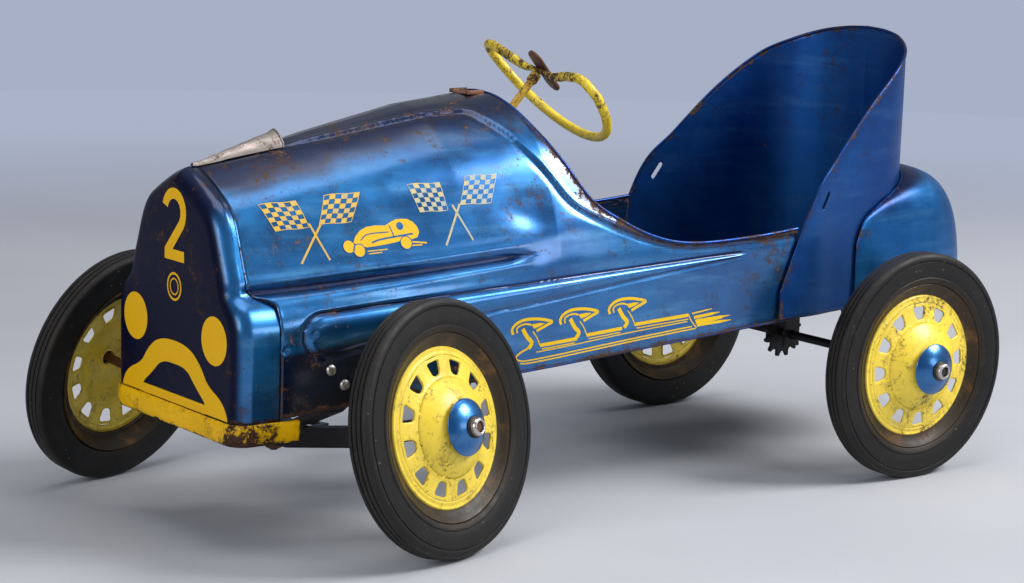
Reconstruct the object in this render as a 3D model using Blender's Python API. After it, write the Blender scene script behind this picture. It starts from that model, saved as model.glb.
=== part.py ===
"""Pedal car of the chain-drive racer kind: a pressed-steel body on four ten-inch disc wheels.

The car drives toward -Y, its left side faces +X and it stands on z = 0. The front axle is stored
turned to the left on its kingpin. Sizes are metres, written as millimetres times MM. The shapes
are laid out from a datum over the rear axle, and BASE_SHIFT then brings the whole car's middle over
the origin and its tyres down to the ground.
"""

import math

import bmesh
import bpy
from mathutils import Euler, Matrix, Vector

MM = 0.001
GAP = 0.3 * MM
SHEET = 1.5 * MM
BASE_SHIFT = (0, 322 * MM, -5 * MM)

# Wheels, the same pressing at all four corners.
AXLE_Z = 127 * MM
DISC_SHEET = 1.4 * MM
HOLES = 12
HOLE_ANGLE = math.radians(14)
HOLE_INNER_R = 51 * MM
HOLE_OUTER_R = 64 * MM
AXLE_R = 4.75 * MM
HUB_BORE_R = 5.8 * MM
CAP_R = 26.3 * MM
CAP_BASE = 28.2 * MM
NUT_BASE = 38.5 * MM
AXLE_STUB = 43 * MM
WHEEL_TURNS = {"front_left": 2, "front_right": 0, "rear_left": -3.5, "rear_right": 12}

# Where the axles are.
REAR_TRACK_HALF = 208 * MM
FRONT_TRACK_HALF = 211.7 * MM
KINGPIN_Y = -675 * MM
REST_STEER = math.radians(16.2)
SPINDLE_RISE = math.radians(11)
SPINDLE_DROP = 0.5 * MM
BEAM_TALL = 20 * MM
BEAM_DEEP = 14 * MM
BEAM_END = 184 * MM
BEAM_MIDDLE_Z = 88 * MM
BEAM_FLAT = 24 * MM
BEAM_BEND = 112 * MM
BEAM_SLOPE = 0.16
KINGPIN_R = 4 * MM

# Body shell.
NOSE_Y = -787 * MM
SEAM_UPPER_Y = -765 * MM
SEAM_LOWER_Y = -742 * MM
COWL_Y = -430 * MM
OPENING_Y = -440 * MM
SHELL_END_Y = -118 * MM
NOSE_CORNER_R = 16 * MM
LIP_LOW = 109 * MM
LIP_END_Y = -718.6 * MM
LIP_TALL = 21 * MM
SIDE_FLARE = 0.04

# Chassis and drive.
RAIL_X = 48 * MM
RAIL_FRONT = Vector((0, -690, 156)) * MM
RAIL_REAR = Vector((0, 22, 170)) * MM
RAIL_TALL = 18 * MM
RAIL_THICK = 4 * MM
CHAIN_PITCH = 12.7 * MM
REAR_TEETH = 12
CRANK_TEETH = 24
CRANK_Y = -440 * MM
CRANK_THROW = 72 * MM
CRANK_R = 5 * MM
CRANK_ARM_X = 58 * MM
PEDAL_END_X = 121 * MM

# Steering column.
COLUMN_ANGLE = math.radians(47)
COLUMN_R = 4.2 * MM
HUB = Vector((0, -360, 435)) * MM
RIM_R = 100
RIM_CENTER = (0, -7, 2)
RIM_TUBE_R = 4.8 * MM
RIM_LEAN = (math.radians(-5.1), math.radians(8.6), math.radians(2.85))
# The cross bar of the D-shaped rim: millimetres across, toward the seat and up, and the tube's share of size.
RIM_BAR = (
    (95, -5, 2, 1), (86, -11, 3, 1), (74, -12, 2.5, 1), (62, -9, 2.5, 1), (50, -6, 2.2, 1), (40, -3, 1.2, 1),
    (29, -1, 0.2, 0.8), (14, 0, 0, 0.6), (0, 0, 0, 0.6), (-12, 0, 0, 0.6), (-25, -1, -1.5, 0.85),
    (-45, -4, -0.5, 1), (-62, -6, 1, 1), (-80, -9, 1.8, 1), (-92, -9, 2, 1), (-98, -3, 2, 1),
)
COLUMN_LENGTH = 420 * MM
COLUMN_THROW = 37 * MM
DASH_HALF = 72 * MM

BLUE = (0.02, 0.13, 0.42, 1)
NAVY = (0.01, 0.02, 0.08, 1)
YELLOW = (0.78, 0.58, 0.03, 1)
BLACK = (0.02, 0.02, 0.02, 1)
STEEL = (0.55, 0.53, 0.5, 1)
RUBBER = (0.025, 0.024, 0.023, 1)
RUST = (0.12, 0.06, 0.035, 1)
FINISHES = {
    "blue_paint": (BLUE, 0.3, 0.6),
    "navy_paint": (NAVY, 0.3, 0.4),
    "yellow_paint": (YELLOW, 0.45, 0.0),
    "black_steel": (BLACK, 0.6, 0.6),
    "bright_steel": (STEEL, 0.35, 1.0),
    "tyre_rubber": (RUBBER, 0.8, 0.0),
    "rusty_steel": (RUST, 0.8, 0.5),
}


def clear_scene():
    for thing in list(bpy.data.objects):
        bpy.data.objects.remove(thing, do_unlink=True)


def finish_of(name, finish):
    color, roughness, metallic = FINISHES[finish]
    material = bpy.data.materials.new(name)
    material.use_nodes = True
    shader = material.node_tree.nodes["Principled BSDF"]
    shader.inputs["Base Color"].default_value = color
    shader.inputs["Roughness"].default_value = roughness
    shader.inputs["Metallic"].default_value = metallic
    material.diffuse_color = color
    return material


def empty(name, location, rotation=None, parent=None):
    holder = bpy.data.objects.new(name, None)
    holder.location = location
    if rotation is not None:
        holder.rotation_euler = rotation
    holder.parent = parent
    bpy.context.collection.objects.link(holder)
    return holder


def add_object(name, mesh_builder, finish, parent=None, smooth=40):
    """Link a bmesh as one named object and give it its own material."""
    mesh = bpy.data.meshes.new(name)
    mesh_builder.to_mesh(mesh)
    mesh_builder.free()
    thing = bpy.data.objects.new(name, mesh)
    thing.parent = parent
    bpy.context.collection.objects.link(thing)
    mesh.materials.append(finish_of(name, finish))
    if smooth:
        mesh.shade_smooth()
        mesh.set_sharp_from_angle(angle=math.radians(smooth))
    return thing


def solidify(thing, thickness, offset=-1):
    modifier = thing.modifiers.new("sheet", "SOLIDIFY")
    modifier.thickness = thickness
    modifier.offset = offset
    modifier.use_even_offset = False
    return thing


def cut(thing, cutter):
    modifier = thing.modifiers.new("cut " + cutter.name, "BOOLEAN")
    modifier.operation = "DIFFERENCE"
    modifier.solver = "EXACT"
    modifier.object = cutter
    cutter.hide_render = True
    cutter.display_type = "WIRE"


def settle(thing, *cutters):
    """Apply a part's modifiers, then take its cutters away."""
    graph = bpy.context.evaluated_depsgraph_get()
    mesh = bpy.data.meshes.new_from_object(thing.evaluated_get(graph))
    thing.modifiers.clear()
    old = thing.data
    thing.data = mesh
    bpy.data.meshes.remove(old)
    for cutter in cutters:
        bpy.data.objects.remove(cutter, do_unlink=True)
    return thing


def curve_points(keys, count):
    """Points at even parameters on the smooth curve through the keys."""
    found = []
    spans = len(keys) - 1
    for step in range(count):
        place = step / (count - 1) * spans
        found.append(curve_at(keys, place))
    return found


def curve_at(keys, place):
    """Catmull-Rom through keys of any width; place runs from 0 to len(keys) - 1."""
    last = len(keys) - 1
    first = min(int(place), last - 1)
    along = place - first
    here = [keys[max(first - 1, 0)], keys[first], keys[first + 1], keys[min(first + 2, last)]]
    weights = (
        (-along + 2 * along**2 - along**3) / 2,
        (2 - 5 * along**2 + 3 * along**3) / 2,
        (along + 4 * along**2 - 3 * along**3) / 2,
        (-(along**2) + along**3) / 2,
    )
    return tuple(sum(w * key[i] for w, key in zip(weights, here)) for i in range(len(keys[0])))


def grid_mesh(rows, closed=False):
    """A sheet of quads through rows of points; closed joins the last column to the first."""
    builder = bmesh.new()
    verts = [[builder.verts.new(point) for point in row] for row in rows]
    for low, high in zip(verts, verts[1:]):
        columns = len(low) if closed else len(low) - 1
        for i in range(columns):
            j = (i + 1) % len(low)
            builder.faces.new((low[i], low[j], high[j], high[i]))
    bmesh.ops.remove_doubles(builder, verts=builder.verts, dist=0.00001)
    return builder


def lathe_mesh(profile, segments=36):
    """A solid of revolution about X from a closed outline of (along, radius) points."""
    builder = bmesh.new()
    verts = [builder.verts.new((along, 0, radius)) for along, radius in profile]
    edges = [builder.edges.new((a, b)) for a, b in zip(verts, verts[1:] + verts[:1])]
    bmesh.ops.spin(
        builder, geom=verts + edges, cent=(0, 0, 0), axis=(1, 0, 0),
        angle=math.tau, steps=segments, use_merge=True,
    )
    bmesh.ops.remove_doubles(builder, verts=builder.verts, dist=0.00001)
    bmesh.ops.recalc_face_normals(builder, faces=builder.faces)
    return builder


def box_mesh(low, high, bevel=0.0):
    builder = bmesh.new()
    bmesh.ops.create_cube(builder, size=1)
    size = [b - a for a, b in zip(low, high)]
    middle = [(a + b) / 2 for a, b in zip(low, high)]
    bmesh.ops.scale(builder, vec=size, verts=builder.verts)
    bmesh.ops.translate(builder, vec=middle, verts=builder.verts)
    if bevel:
        bmesh.ops.bevel(builder, geom=builder.edges, offset=bevel, segments=2, affect="EDGES", profile=0.5)
    return builder


def extrude_outline(outline, low, high, axis="X"):
    """A prism: the outline lies across the axis, in the other two coordinates' order."""
    builder = bmesh.new()

    def place(point, depth):
        if axis == "X":
            return (depth, point[0], point[1])
        if axis == "Y":
            return (point[0], depth, point[1])
        return (point[0], point[1], depth)

    face = builder.faces.new([builder.verts.new(place(point, low)) for point in outline])
    moved = bmesh.ops.extrude_face_region(builder, geom=[face])["geom"]
    shift = Vector(place((0, 0), high - low))
    bmesh.ops.translate(builder, vec=shift, verts=[v for v in moved if isinstance(v, bmesh.types.BMVert)])
    bmesh.ops.recalc_face_normals(builder, faces=builder.faces)
    return builder


def rod_object(name, points, radius, finish, parent=None, sides=2, cyclic=False):
    """A round bar along a route, with flat ends."""
    curve = bpy.data.curves.new(name, "CURVE")
    curve.dimensions = "3D"
    curve.bevel_depth = radius
    curve.bevel_resolution = sides
    curve.use_fill_caps = not cyclic
    spline = curve.splines.new("POLY")
    spline.points.add(len(points) - 1)
    for knot, point in zip(spline.points, points):
        knot.co = (*point, 1)
    spline.use_cyclic_u = cyclic
    spline.use_smooth = True
    curve.materials.append(finish_of(name, finish))
    bar = bpy.data.objects.new(name, curve)
    bar.parent = parent
    bpy.context.collection.objects.link(bar)
    return bar


def filleted(corners, radius, steps=4):
    """The route through the corners with each bend rounded."""
    route = [Vector(corners[0])]
    for before, corner, after in zip(corners, corners[1:], corners[2:]):
        corner = Vector(corner)
        into = (corner - Vector(before)).normalized()
        out = (Vector(after) - corner).normalized()
        turn = into.angle(out)
        reach = radius * math.tan(turn / 2)
        start = corner - into * reach
        inward = (out - into * into.dot(out)).normalized()
        center = start + inward * radius
        for step in range(steps + 1):
            angle = turn * step / steps
            route.append(center - inward * radius * math.cos(angle) + into * radius * math.sin(angle))
    route.append(Vector(corners[-1]))
    return route


def arc(center, radius, start, end, steps):
    """Points of an arc in a plane, angles in degrees."""
    found = []
    for step in range(steps + 1):
        angle = math.radians(start + (end - start) * step / steps)
        found.append((center[0] + radius * math.cos(angle), center[1] + radius * math.sin(angle)))
    return found


# ---- body surface ---------------------------------------------------------------------------

# Half sections as (half width, height) from the lower edge to the centre of the hood, in mm.
NOSE_SECTION = (
    (118.5, 131), (119, 162), (119, 198), (117.5, 219), (110, 234), (98, 247), (92.5, 262),
    (85, 281), (74, 309), (62, 326), (46, 336.5), (30, 345), (14, 352.5), (0, 357),
)
COWL_SECTION = (
    (136, 155), (136.5, 190), (137, 222), (137, 243), (137, 258), (135, 272), (130, 295),
    (121, 317), (106, 349), (90, 372), (70, 390), (48, 404.5), (24, 414), (0, 417),
)
SECTION_SPANS = len(NOSE_SECTION) - 1
GROOVE_PLACE = 5
SECTION_POINTS = 15
HUMP_RISE = 1.18
HUMP_END = 0.7
SEAM_GAP = 0.8 * MM


def body_point(y, place):
    """A point of the shell's outer side: place 0 is the lower edge, SECTION_SPANS the hood's centre."""
    along = min(max((y - SEAM_UPPER_Y) / (COWL_Y - SEAM_UPPER_Y), 0), 1)
    nose_x, nose_z = curve_at(NOSE_SECTION, place)
    cowl_x, cowl_z = curve_at(COWL_SECTION, place)
    rise = along * HUMP_RISE
    if along > HUMP_END:
        rise = 1 - (1 - along) * (1 - HUMP_END * HUMP_RISE) / (1 - HUMP_END)
    high_part = min(max((place - GROOVE_PLACE) / 3, 0), 1)
    lift = along + (rise - along) * high_part
    flare = 1 + SIDE_FLARE * min(max((y - COWL_Y) / (330 * MM), 0), 1)
    edge_rise = 21 * MM * max((y - COWL_Y) / (310 * MM), 0) * max(1 - place / 3, 0)
    x = (nose_x + (cowl_x - nose_x) * along) * MM * flare
    z = (nose_z + (cowl_z - nose_z) * lift) * MM + edge_rise
    return x, z


def seam_y(place):
    """The joint between nose and body steps forward above the groove."""
    step = min(max((place - GROOVE_PLACE + 1) / 1.5, 0), 1)
    return SEAM_LOWER_Y + (SEAM_UPPER_Y - SEAM_LOWER_Y) * step


# The cockpit's rim as (y in mm, place) from the middle of the cowl back to the seat.
RIM = (
    (-440, 13), (-436, 11.9), (-428, 10.4), (-415, 8.9), (-394, 7.5), (-362, 6.3),
    (-318, 5.35), (-262, 4.72), (-190, 4.75), (-118, 5.05),
)


def shell_stations():
    """(lower-edge y, top y, top place) of each station along one side."""
    stations = []
    hood_steps = 7
    for step in range(hood_steps):
        y = SEAM_UPPER_Y + (OPENING_Y - SEAM_UPPER_Y) * step / hood_steps
        low = SEAM_LOWER_Y + (OPENING_Y - 25 * MM - SEAM_LOWER_Y) * step / hood_steps
        stations.append((low, y, SECTION_SPANS))
    rim_steps = 16
    for step, (rim_y, place) in enumerate(curve_points(RIM, rim_steps)):
        low = OPENING_Y - 25 * MM + (SHELL_END_Y - OPENING_Y + 25 * MM) * step / (rim_steps - 1)
        stations.append((low, rim_y * MM, place))
    return stations


def body_shell():
    rows = []
    for number, (low_y, top_y, top_place) in enumerate(shell_stations()):
        row = []
        for column in range(SECTION_POINTS):
            share = column / (SECTION_POINTS - 1)
            place = top_place * share
            y = seam_y(place) if number == 0 else low_y + (top_y - low_y) * share
            x, z = body_point(y, place)
            row.append((x, y, z))
        rows.append(row)
    builder = grid_mesh(rows)
    mirror_half(builder)
    shell = add_object("body_shell", builder, "blue_paint", smooth=50)
    return settle(solidify(shell, SHEET))


def mirror_half(builder):
    """Add the other side of a half sheet and face the whole sheet outward."""
    for vert in builder.verts:
        if abs(vert.co.x) < 0.00005:
            vert.co.x = 0
    bmesh.ops.mirror(
        builder, geom=builder.verts[:] + builder.edges[:] + builder.faces[:],
        axis="X", merge_dist=0.00001,
    )
    bmesh.ops.recalc_face_normals(builder, faces=builder.faces)
    widest = max(builder.faces, key=lambda face: face.calc_center_median().x)
    if widest.normal.x < 0:
        bmesh.ops.reverse_faces(builder, faces=builder.faces)


def nose_outline(inset, count=SECTION_POINTS):
    """The nose's half outline, moved inward across itself by the inset."""
    points = [Vector(body_point(SEAM_UPPER_Y, SECTION_SPANS * i / (count - 1))) for i in range(count)]
    moved = []
    for i, point in enumerate(points):
        before = points[max(i - 1, 0)]
        after = points[min(i + 1, count - 1)]
        run = (after - before).normalized()
        inward = Vector((-run.y, run.x))
        if i == 0:
            inward = Vector((-1, 0))
        if i == count - 1:
            inward = Vector((0, -1))
        moved.append(point + inward * inset)
    return moved


def nose_cap():
    """The front pressing: sides, rounded corner and flat face in one sheet."""
    rows = [[]]
    for i in range(SECTION_POINTS):
        place = SECTION_SPANS * i / (SECTION_POINTS - 1)
        y = seam_y(place) - SEAM_GAP
        x, z = body_point(SEAM_UPPER_Y, place)
        rows[0].append((x, y, z))
    corner_steps = 4
    for step in range(corner_steps + 1):
        angle = math.pi / 2 * step / corner_steps
        inset = NOSE_CORNER_R * (1 - math.cos(angle))
        y = NOSE_Y + NOSE_CORNER_R * (1 - math.sin(angle))
        rows.append([(p.x, y, p.y) for p in nose_outline(inset)])
    builder = grid_mesh(rows)
    mirror_half(builder)
    front = [v for v in builder.verts if abs(v.co.y - NOSE_Y) < 0.00001]
    left = sorted((v for v in front if v.co.x >= 0), key=lambda v: v.co.z)
    right = sorted((v for v in front if v.co.x < -0.00001), key=lambda v: v.co.z)
    builder.faces.new(left + right[::-1])
    bmesh.ops.recalc_face_normals(builder, faces=builder.faces)
    face = min(builder.faces, key=lambda f: f.calc_center_median().y)
    if face.normal.y > 0:
        bmesh.ops.reverse_faces(builder, faces=builder.faces)
    cap = add_object("nose_cap", builder, "navy_paint", smooth=50)
    return settle(solidify(cap, SHEET))


def bumper_strip():
    """The yellow lip that wraps the nose's lower edge."""
    half = NOSE_SECTION[0][0] * MM + 1.5 * MM
    front = NOSE_Y - 3 * MM
    radius = 20 * MM
    plan = [(half, LIP_END_Y), (half, front + radius)]
    plan += arc((half - radius, front + radius), radius, 0, -90, 6)[1:]
    plan += [(x * -1, y) for x, y in reversed(plan)]
    rows = [[(x, y, z) for x, y in plan] for z in (LIP_LOW, LIP_LOW + LIP_TALL)]
    strip = add_object("bumper_strip", grid_mesh(rows), "yellow_paint", smooth=50)
    return settle(solidify(strip, 2 * MM, offset=0))


def hood_scoop():
    """The bright half-cone of trim on the hood, open at the back."""
    tip = Vector((0, -769, 357)) * MM
    rear_y = -679 * MM
    rows = []
    for step in range(8):
        share = step / 7
        y = tip.y + (rear_y - tip.y) * share
        radius = (3 + 13 * share) * MM
        row = []
        for turn in range(11):
            angle = math.pi * turn / 10
            x = radius * math.cos(angle)
            row.append((x, y, hood_height(x, y) + 1.4 * MM + radius * 0.65 * math.sin(angle)))
        rows.append(row)
    builder = grid_mesh(rows)
    scoop = add_object("hood_scoop", builder, "bright_steel")
    return settle(solidify(scoop, 1.2 * MM, offset=0))


def hood_height(x, y):
    """Height of the hood's outer side above a point near its middle."""
    low, high = 8.0, float(SECTION_SPANS)
    for _ in range(30):
        middle = (low + high) / 2
        if body_point(y, middle)[0] > abs(x):
            low = middle
        else:
            high = middle
    return body_point(y, high)[1]


def cowl_bracket():
    """The small black bracket bolted at the hood's highest point: a strip with upturned ends."""
    top = hood_height(0, -445 * MM) + GAP * 2
    base = top + 1.6 * MM
    tab = top + 3.4 * MM
    outline = [
        (-15 * MM, top), (15 * MM, top), (15 * MM, tab), (12.5 * MM, tab),
        (12.5 * MM, base), (-12.5 * MM, base), (-12.5 * MM, tab), (-15 * MM, tab),
    ]
    builder = extrude_outline(outline, -459 * MM, -445 * MM, axis="Y")
    return add_object("cowl_bracket", builder, "black_steel", smooth=0)


# ---- seat and tail --------------------------------------------------------------------------

# Half plan of the seat sheet's outer side from its front edge to the middle of the back, in mm.
SEAT_PLAN = (
    (146, -141), (145, -98), (136.5, -57), (127, -4), (114, 47), (93, 79), (64, 99), (32, 108.5), (0, 111),
)
# Height of the seat sheet's edge over the same plan points, in mm.
SEAT_EDGE = ((207,), (303,), (346,), (396,), (434,), (453,), (465,), (471,), (473,))
SEAT_LOW = 178 * MM


def seat_back():
    columns = 21
    plan = curve_points(SEAT_PLAN, columns)
    edge = curve_points(SEAT_EDGE, columns)
    levels = 6
    rows = []
    for level in range(levels):
        share = level / (levels - 1)
        row = []
        for (x, y), (top,) in zip(plan, edge):
            row.append((x * MM, y * MM, SEAT_LOW + (top * MM - SEAT_LOW) * share))
        rows.append(row)
    builder = grid_mesh(rows)
    mirror_half(builder)
    seat = add_object("seat_back", builder, "blue_paint", smooth=50)
    return settle(solidify(seat, SHEET))


# Where the tail meets the seat sheet: (plan x, y, height) from its front corner to the middle, in mm.
TAIL_TOP = (
    (132.8, -21, 246), (130.8, -10, 271), (125.4, 15.5, 287), (118.4, 41.8, 298), (107, 66.6, 308),
    (87.2, 88, 315), (60.6, 103.8, 318), (30.3, 112.8, 319), (0, 114.8, 319.5),
)
# Lower edge of the tail in plan, from its front corner to the middle of the back, in mm.
TAIL_LOW = (
    (133.6, -21), (134.4, 0), (135, 35), (134, 75), (128, 118), (112, 158), (84, 188), (44, 206), (0, 212),
)
TAIL_LOW_Z = 173 * MM


def tail_deck():
    """The rounded rear deck: it leaves the seat sheet level and turns down to its lower edge."""
    columns = 17
    tops = curve_points(TAIL_TOP, columns)
    lows = curve_points(TAIL_LOW, columns)
    steps = 8
    rows = []
    for step in range(steps):
        angle = math.pi / 2 * step / (steps - 1)
        out = math.sin(angle) ** 0.72
        down = math.cos(angle) ** 0.72
        row = []
        for top, low in zip(tops, lows):
            x = (top[0] + (low[0] - top[0]) * out) * MM
            y = (top[1] + (low[1] - top[1]) * out) * MM
            row.append((x, y, TAIL_LOW_Z + (top[2] * MM - TAIL_LOW_Z) * down))
        rows.append(row)
    builder = grid_mesh(rows)
    mirror_half(builder)
    tail = add_object("tail_deck", builder, "blue_paint", smooth=50)
    return settle(solidify(tail, SHEET))


def seat_pan():
    """The seat's flat board-like pan, inside the seat sheet."""
    inset = 4 * MM
    half = []
    for x, y in curve_points(SEAT_PLAN, 17):
        if y > -120:
            half.append((max(x * MM - inset, 0), y * MM - (inset if x < 100 else 0)))
    half = [(134 * MM, -205 * MM), (136 * MM, -125 * MM)] + half
    outline = half + [(-x, y) for x, y in reversed(half[:-1])]
    builder = extrude_outline(outline, 206 * MM, 209 * MM, axis="Z")
    return add_object("seat_pan", builder, "black_steel", smooth=0)


# ---- chassis --------------------------------------------------------------------------------


def rail_height(y):
    """Height of the rails' middle line at a place along the car."""
    share = (y - RAIL_FRONT.y) / (RAIL_REAR.y - RAIL_FRONT.y)
    return RAIL_FRONT.z + (RAIL_REAR.z - RAIL_FRONT.z) * share


def rails():
    for side, name in ((1, "chassis_rail_left"), (-1, "chassis_rail_right")):
        low = RAIL_FRONT.z - RAIL_TALL / 2
        outline = [
            (RAIL_FRONT.y, low), (RAIL_REAR.y, RAIL_REAR.z - RAIL_TALL / 2),
            (RAIL_REAR.y, RAIL_REAR.z + RAIL_TALL / 2), (RAIL_FRONT.y, low + RAIL_TALL),
        ]
        x = side * RAIL_X
        builder = extrude_outline(outline, x - RAIL_THICK / 2, x + RAIL_THICK / 2)
        rail = add_object(name, builder, "black_steel", smooth=0)
        bearing = cylinder_cutter("bearing " + name, (x, CRANK_Y, rail_height(CRANK_Y)), 6 * MM, 12 * MM, "X")
        cut(rail, bearing)
        settle(rail, bearing)


def cylinder_cutter(name, center, radius, depth, axis, sides=20):
    builder = bmesh.new()
    bmesh.ops.create_cone(
        builder, cap_ends=True, segments=sides, radius1=radius, radius2=radius, depth=depth,
    )
    turn = {"X": Matrix.Rotation(math.pi / 2, 3, "Y"), "Y": Matrix.Rotation(math.pi / 2, 3, "X")}
    if axis in turn:
        bmesh.ops.rotate(builder, matrix=turn[axis], verts=builder.verts)
    bmesh.ops.translate(builder, vec=center, verts=builder.verts)
    mesh = bpy.data.meshes.new(name)
    builder.to_mesh(mesh)
    builder.free()
    cutter = bpy.data.objects.new(name, mesh)
    bpy.context.collection.objects.link(cutter)
    return cutter


def strap_outline(center_line, thickness):
    """A closed outline of even thickness around an open centre line."""
    outer = []
    inner = []
    for i, point in enumerate(center_line):
        here = Vector(point)
        before = Vector(center_line[max(i - 1, 0)])
        after = Vector(center_line[min(i + 1, len(center_line) - 1)])
        run = (after - before).normalized()
        across = Vector((-run.y, run.x)) * thickness / 2
        outer.append(tuple(here + across))
        inner.append(tuple(here - across))
    return outer + inner[::-1]


def front_crossmember():
    """The bowed strap that carries the kingpin, its ends turned up inside the body's sides."""
    half = [
        (115.4, 190), (115.4, 148), (112, 138), (98, 128), (72, 117), (52, 108.5), (34, 102.5),
        (14, 100.5), (0, 100.5),
    ]
    right = [(x * MM, z * MM) for x, z in half]
    line = right + [(-x, z) for x, z in reversed(right[:-1])]
    builder = extrude_outline(strap_outline(line, 3 * MM), KINGPIN_Y - 24 * MM, KINGPIN_Y + 16 * MM, axis="Y")
    strap = add_object("front_crossmember", builder, "black_steel", smooth=30)
    hole = cylinder_cutter("strap hole", (0, KINGPIN_Y, 100 * MM), KINGPIN_R + GAP, 20 * MM, "Z")
    cut(strap, hole)
    return settle(strap, hole)


def kingpin():
    """The bolt through strap and beam, and the nut under the beam."""
    top = 102 * MM + GAP
    beam_low = beam_height(0) - BEAM_TALL / 2
    profile = [
        (top + 6 * MM, 0), (top + 6 * MM, 7 * MM), (top, 8 * MM), (top, KINGPIN_R),
        (beam_low - 6.5 * MM, KINGPIN_R), (beam_low - 6.5 * MM, 0),
    ]
    bolt = add_object("kingpin_bolt", lathe_mesh(profile, 20), "rusty_steel")
    bolt.rotation_euler = (0, -math.pi / 2, 0)
    bolt.location = (0, KINGPIN_Y, 0)
    hole = (KINGPIN_R + GAP) / math.cos(math.pi / 6)
    nut_profile = [
        (beam_low - GAP, hole), (beam_low - GAP, 8 * MM),
        (beam_low - 4.5 * MM, 8 * MM), (beam_low - 4.5 * MM, hole),
    ]
    nut = add_object("kingpin_nut", lathe_mesh(nut_profile, 6), "rusty_steel", smooth=0)
    nut.rotation_euler = (0, -math.pi / 2, 0)
    nut.location = (0, KINGPIN_Y, 0)


def body_bolts():
    """Two round-headed bolts on each side hold the front strap to the body."""
    number = 0
    for side in (1, -1):
        for y, z in ((-689 * MM, 174.5 * MM), (-674 * MM, 159 * MM)):
            number += 1
            x, _ = body_point(y, 1.2)
            head = [(0, 0), (0, 5 * MM), (1.6 * MM, 4.4 * MM), (2.8 * MM, 2.8 * MM), (3.2 * MM, 0)]
            bolt = add_object(f"body_bolt_{number}", lathe_mesh(head, 14), "bright_steel")
            bolt.location = (side * (x + 0.6 * MM), y, z)
            bolt.rotation_euler = (0, 0, 0 if side > 0 else math.pi)


def rear_frame():
    """Crossbar between the rails, the yoke that straddles the sprocket, and the side hangers."""
    bar_low = rail_height(0) + RAIL_TALL / 2 + GAP
    bar = box_mesh((-60 * MM, -14 * MM, bar_low), (60 * MM, 14 * MM, bar_low + 3 * MM), 0.4 * MM)
    add_object("rear_crossbar", bar, "black_steel", smooth=0)
    yoke_top = bar_low - GAP
    outline = [
        (-16, 114), (-16, 0), (16, 0), (16, 114), (12.5, 114), (12.5, -3.5), (-12.5, -3.5), (-12.5, 114),
    ]
    points = []
    for x, z in outline:
        height = yoke_top + z * MM if z <= 0 else z * MM
        points.append((x * MM, height))
    builder = extrude_outline(points, -11 * MM, 11 * MM, axis="Y")
    yoke = add_object("axle_yoke", builder, "black_steel", smooth=0)
    hole = cylinder_cutter("yoke hole", (0, 0, AXLE_Z), AXLE_R + 0.6 * MM, 60 * MM, "X")
    cut(yoke, hole)
    settle(yoke, hole)
    for side, name in ((1, "axle_hanger_left"), (-1, "axle_hanger_right")):
        plate = [(-22 * MM, 202 * MM), (-22 * MM, 176 * MM), (-12 * MM, AXLE_Z)]
        plate += arc((0, AXLE_Z), 12 * MM, 180, 360, 8)[1:]
        plate += [(18 * MM, 176 * MM), (18 * MM, 202 * MM)]
        x = side * 115.5 * MM
        builder = extrude_outline(plate, x - 1.5 * MM, x + 1.5 * MM)
        hanger = add_object(name, builder, "black_steel", smooth=0)
        hole = cylinder_cutter("hanger hole", (x, 0, AXLE_Z), AXLE_R + 0.6 * MM, 20 * MM, "X")
        cut(hanger, hole)
        settle(hanger, hole)


# ---- wheels ---------------------------------------------------------------------------------

# Tyre outline as (along the axle, radius) in mm, outer side positive.
TYRE_OUTLINE = (
    (-8, 122), (8, 122), (11.3, 120.2), (13, 116.5), (13, 105), (12, 92), (10, 88.5), (3.4, 79.6),
    (-0.8, 79.7), (-11.8, 87), (-13, 91), (-13, 116.5), (-11.3, 120.2),
)
# The wheel pressing's outer face from the rim's lip to the hub tube, in mm.
DISC_LINE = (
    (-13.6, 88.6), (-12.2, 86.2), (-1.2, 78.9), (3.4, 75), (5.8, 64), (8, 51),
    (12, 44.5), (19, 38.5), (25, 28.5), (27.2, 12), (26.4, 7.6), (-15, 7.3),
)


def tyre(name, parent):
    profile = [(a * MM, r * MM) for a, r in TYRE_OUTLINE]
    return add_object(name, lathe_mesh(profile), "tyre_rubber", parent, smooth=50)


def wheel_disc(name, parent):
    """The pressed wheel with its twelve holes and its hub tube, one sheet."""
    pitch = math.tau / HOLES
    land = (pitch - HOLE_ANGLE) / 2
    angles = []
    for hole in range(HOLES):
        start = hole * pitch
        angles += [start, start + HOLE_ANGLE, start + HOLE_ANGLE + land]
    rows = []
    for along, radius in DISC_LINE:
        rows.append([
            (along * MM, radius * MM * math.cos(angle), radius * MM * math.sin(angle)) for angle in angles
        ])
    builder = grid_mesh(rows, closed=True)
    builder.faces.ensure_lookup_table()
    open_faces = []
    for face in builder.faces:
        center = face.calc_center_median()
        radius = math.hypot(center.y, center.z)
        turn = math.atan2(center.z, center.y) % pitch
        if HOLE_INNER_R < radius < HOLE_OUTER_R and turn < HOLE_ANGLE:
            open_faces.append(face)
    bmesh.ops.delete(builder, geom=open_faces, context="FACES")
    bmesh.ops.recalc_face_normals(builder, faces=builder.faces)
    dome = max(builder.faces, key=lambda face: face.calc_center_median().x)
    if dome.normal.x < 0:
        bmesh.ops.reverse_faces(builder, faces=builder.faces)
    disc = add_object(name, builder, "yellow_paint", parent, smooth=50)
    return settle(solidify(disc, DISC_SHEET))


def hub_cap(name, parent):
    profile = [
        (CAP_BASE, CAP_R), (CAP_BASE + 1.4 * MM, CAP_R), (NUT_BASE - GAP, 11 * MM),
        (NUT_BASE - GAP, 5.6 * MM), (CAP_BASE + 5 * MM, 5.6 * MM), (CAP_BASE + 2.5 * MM, 14 * MM),
    ]
    return add_object(name, lathe_mesh(profile, 24), "blue_paint", parent, smooth=35)


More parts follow.
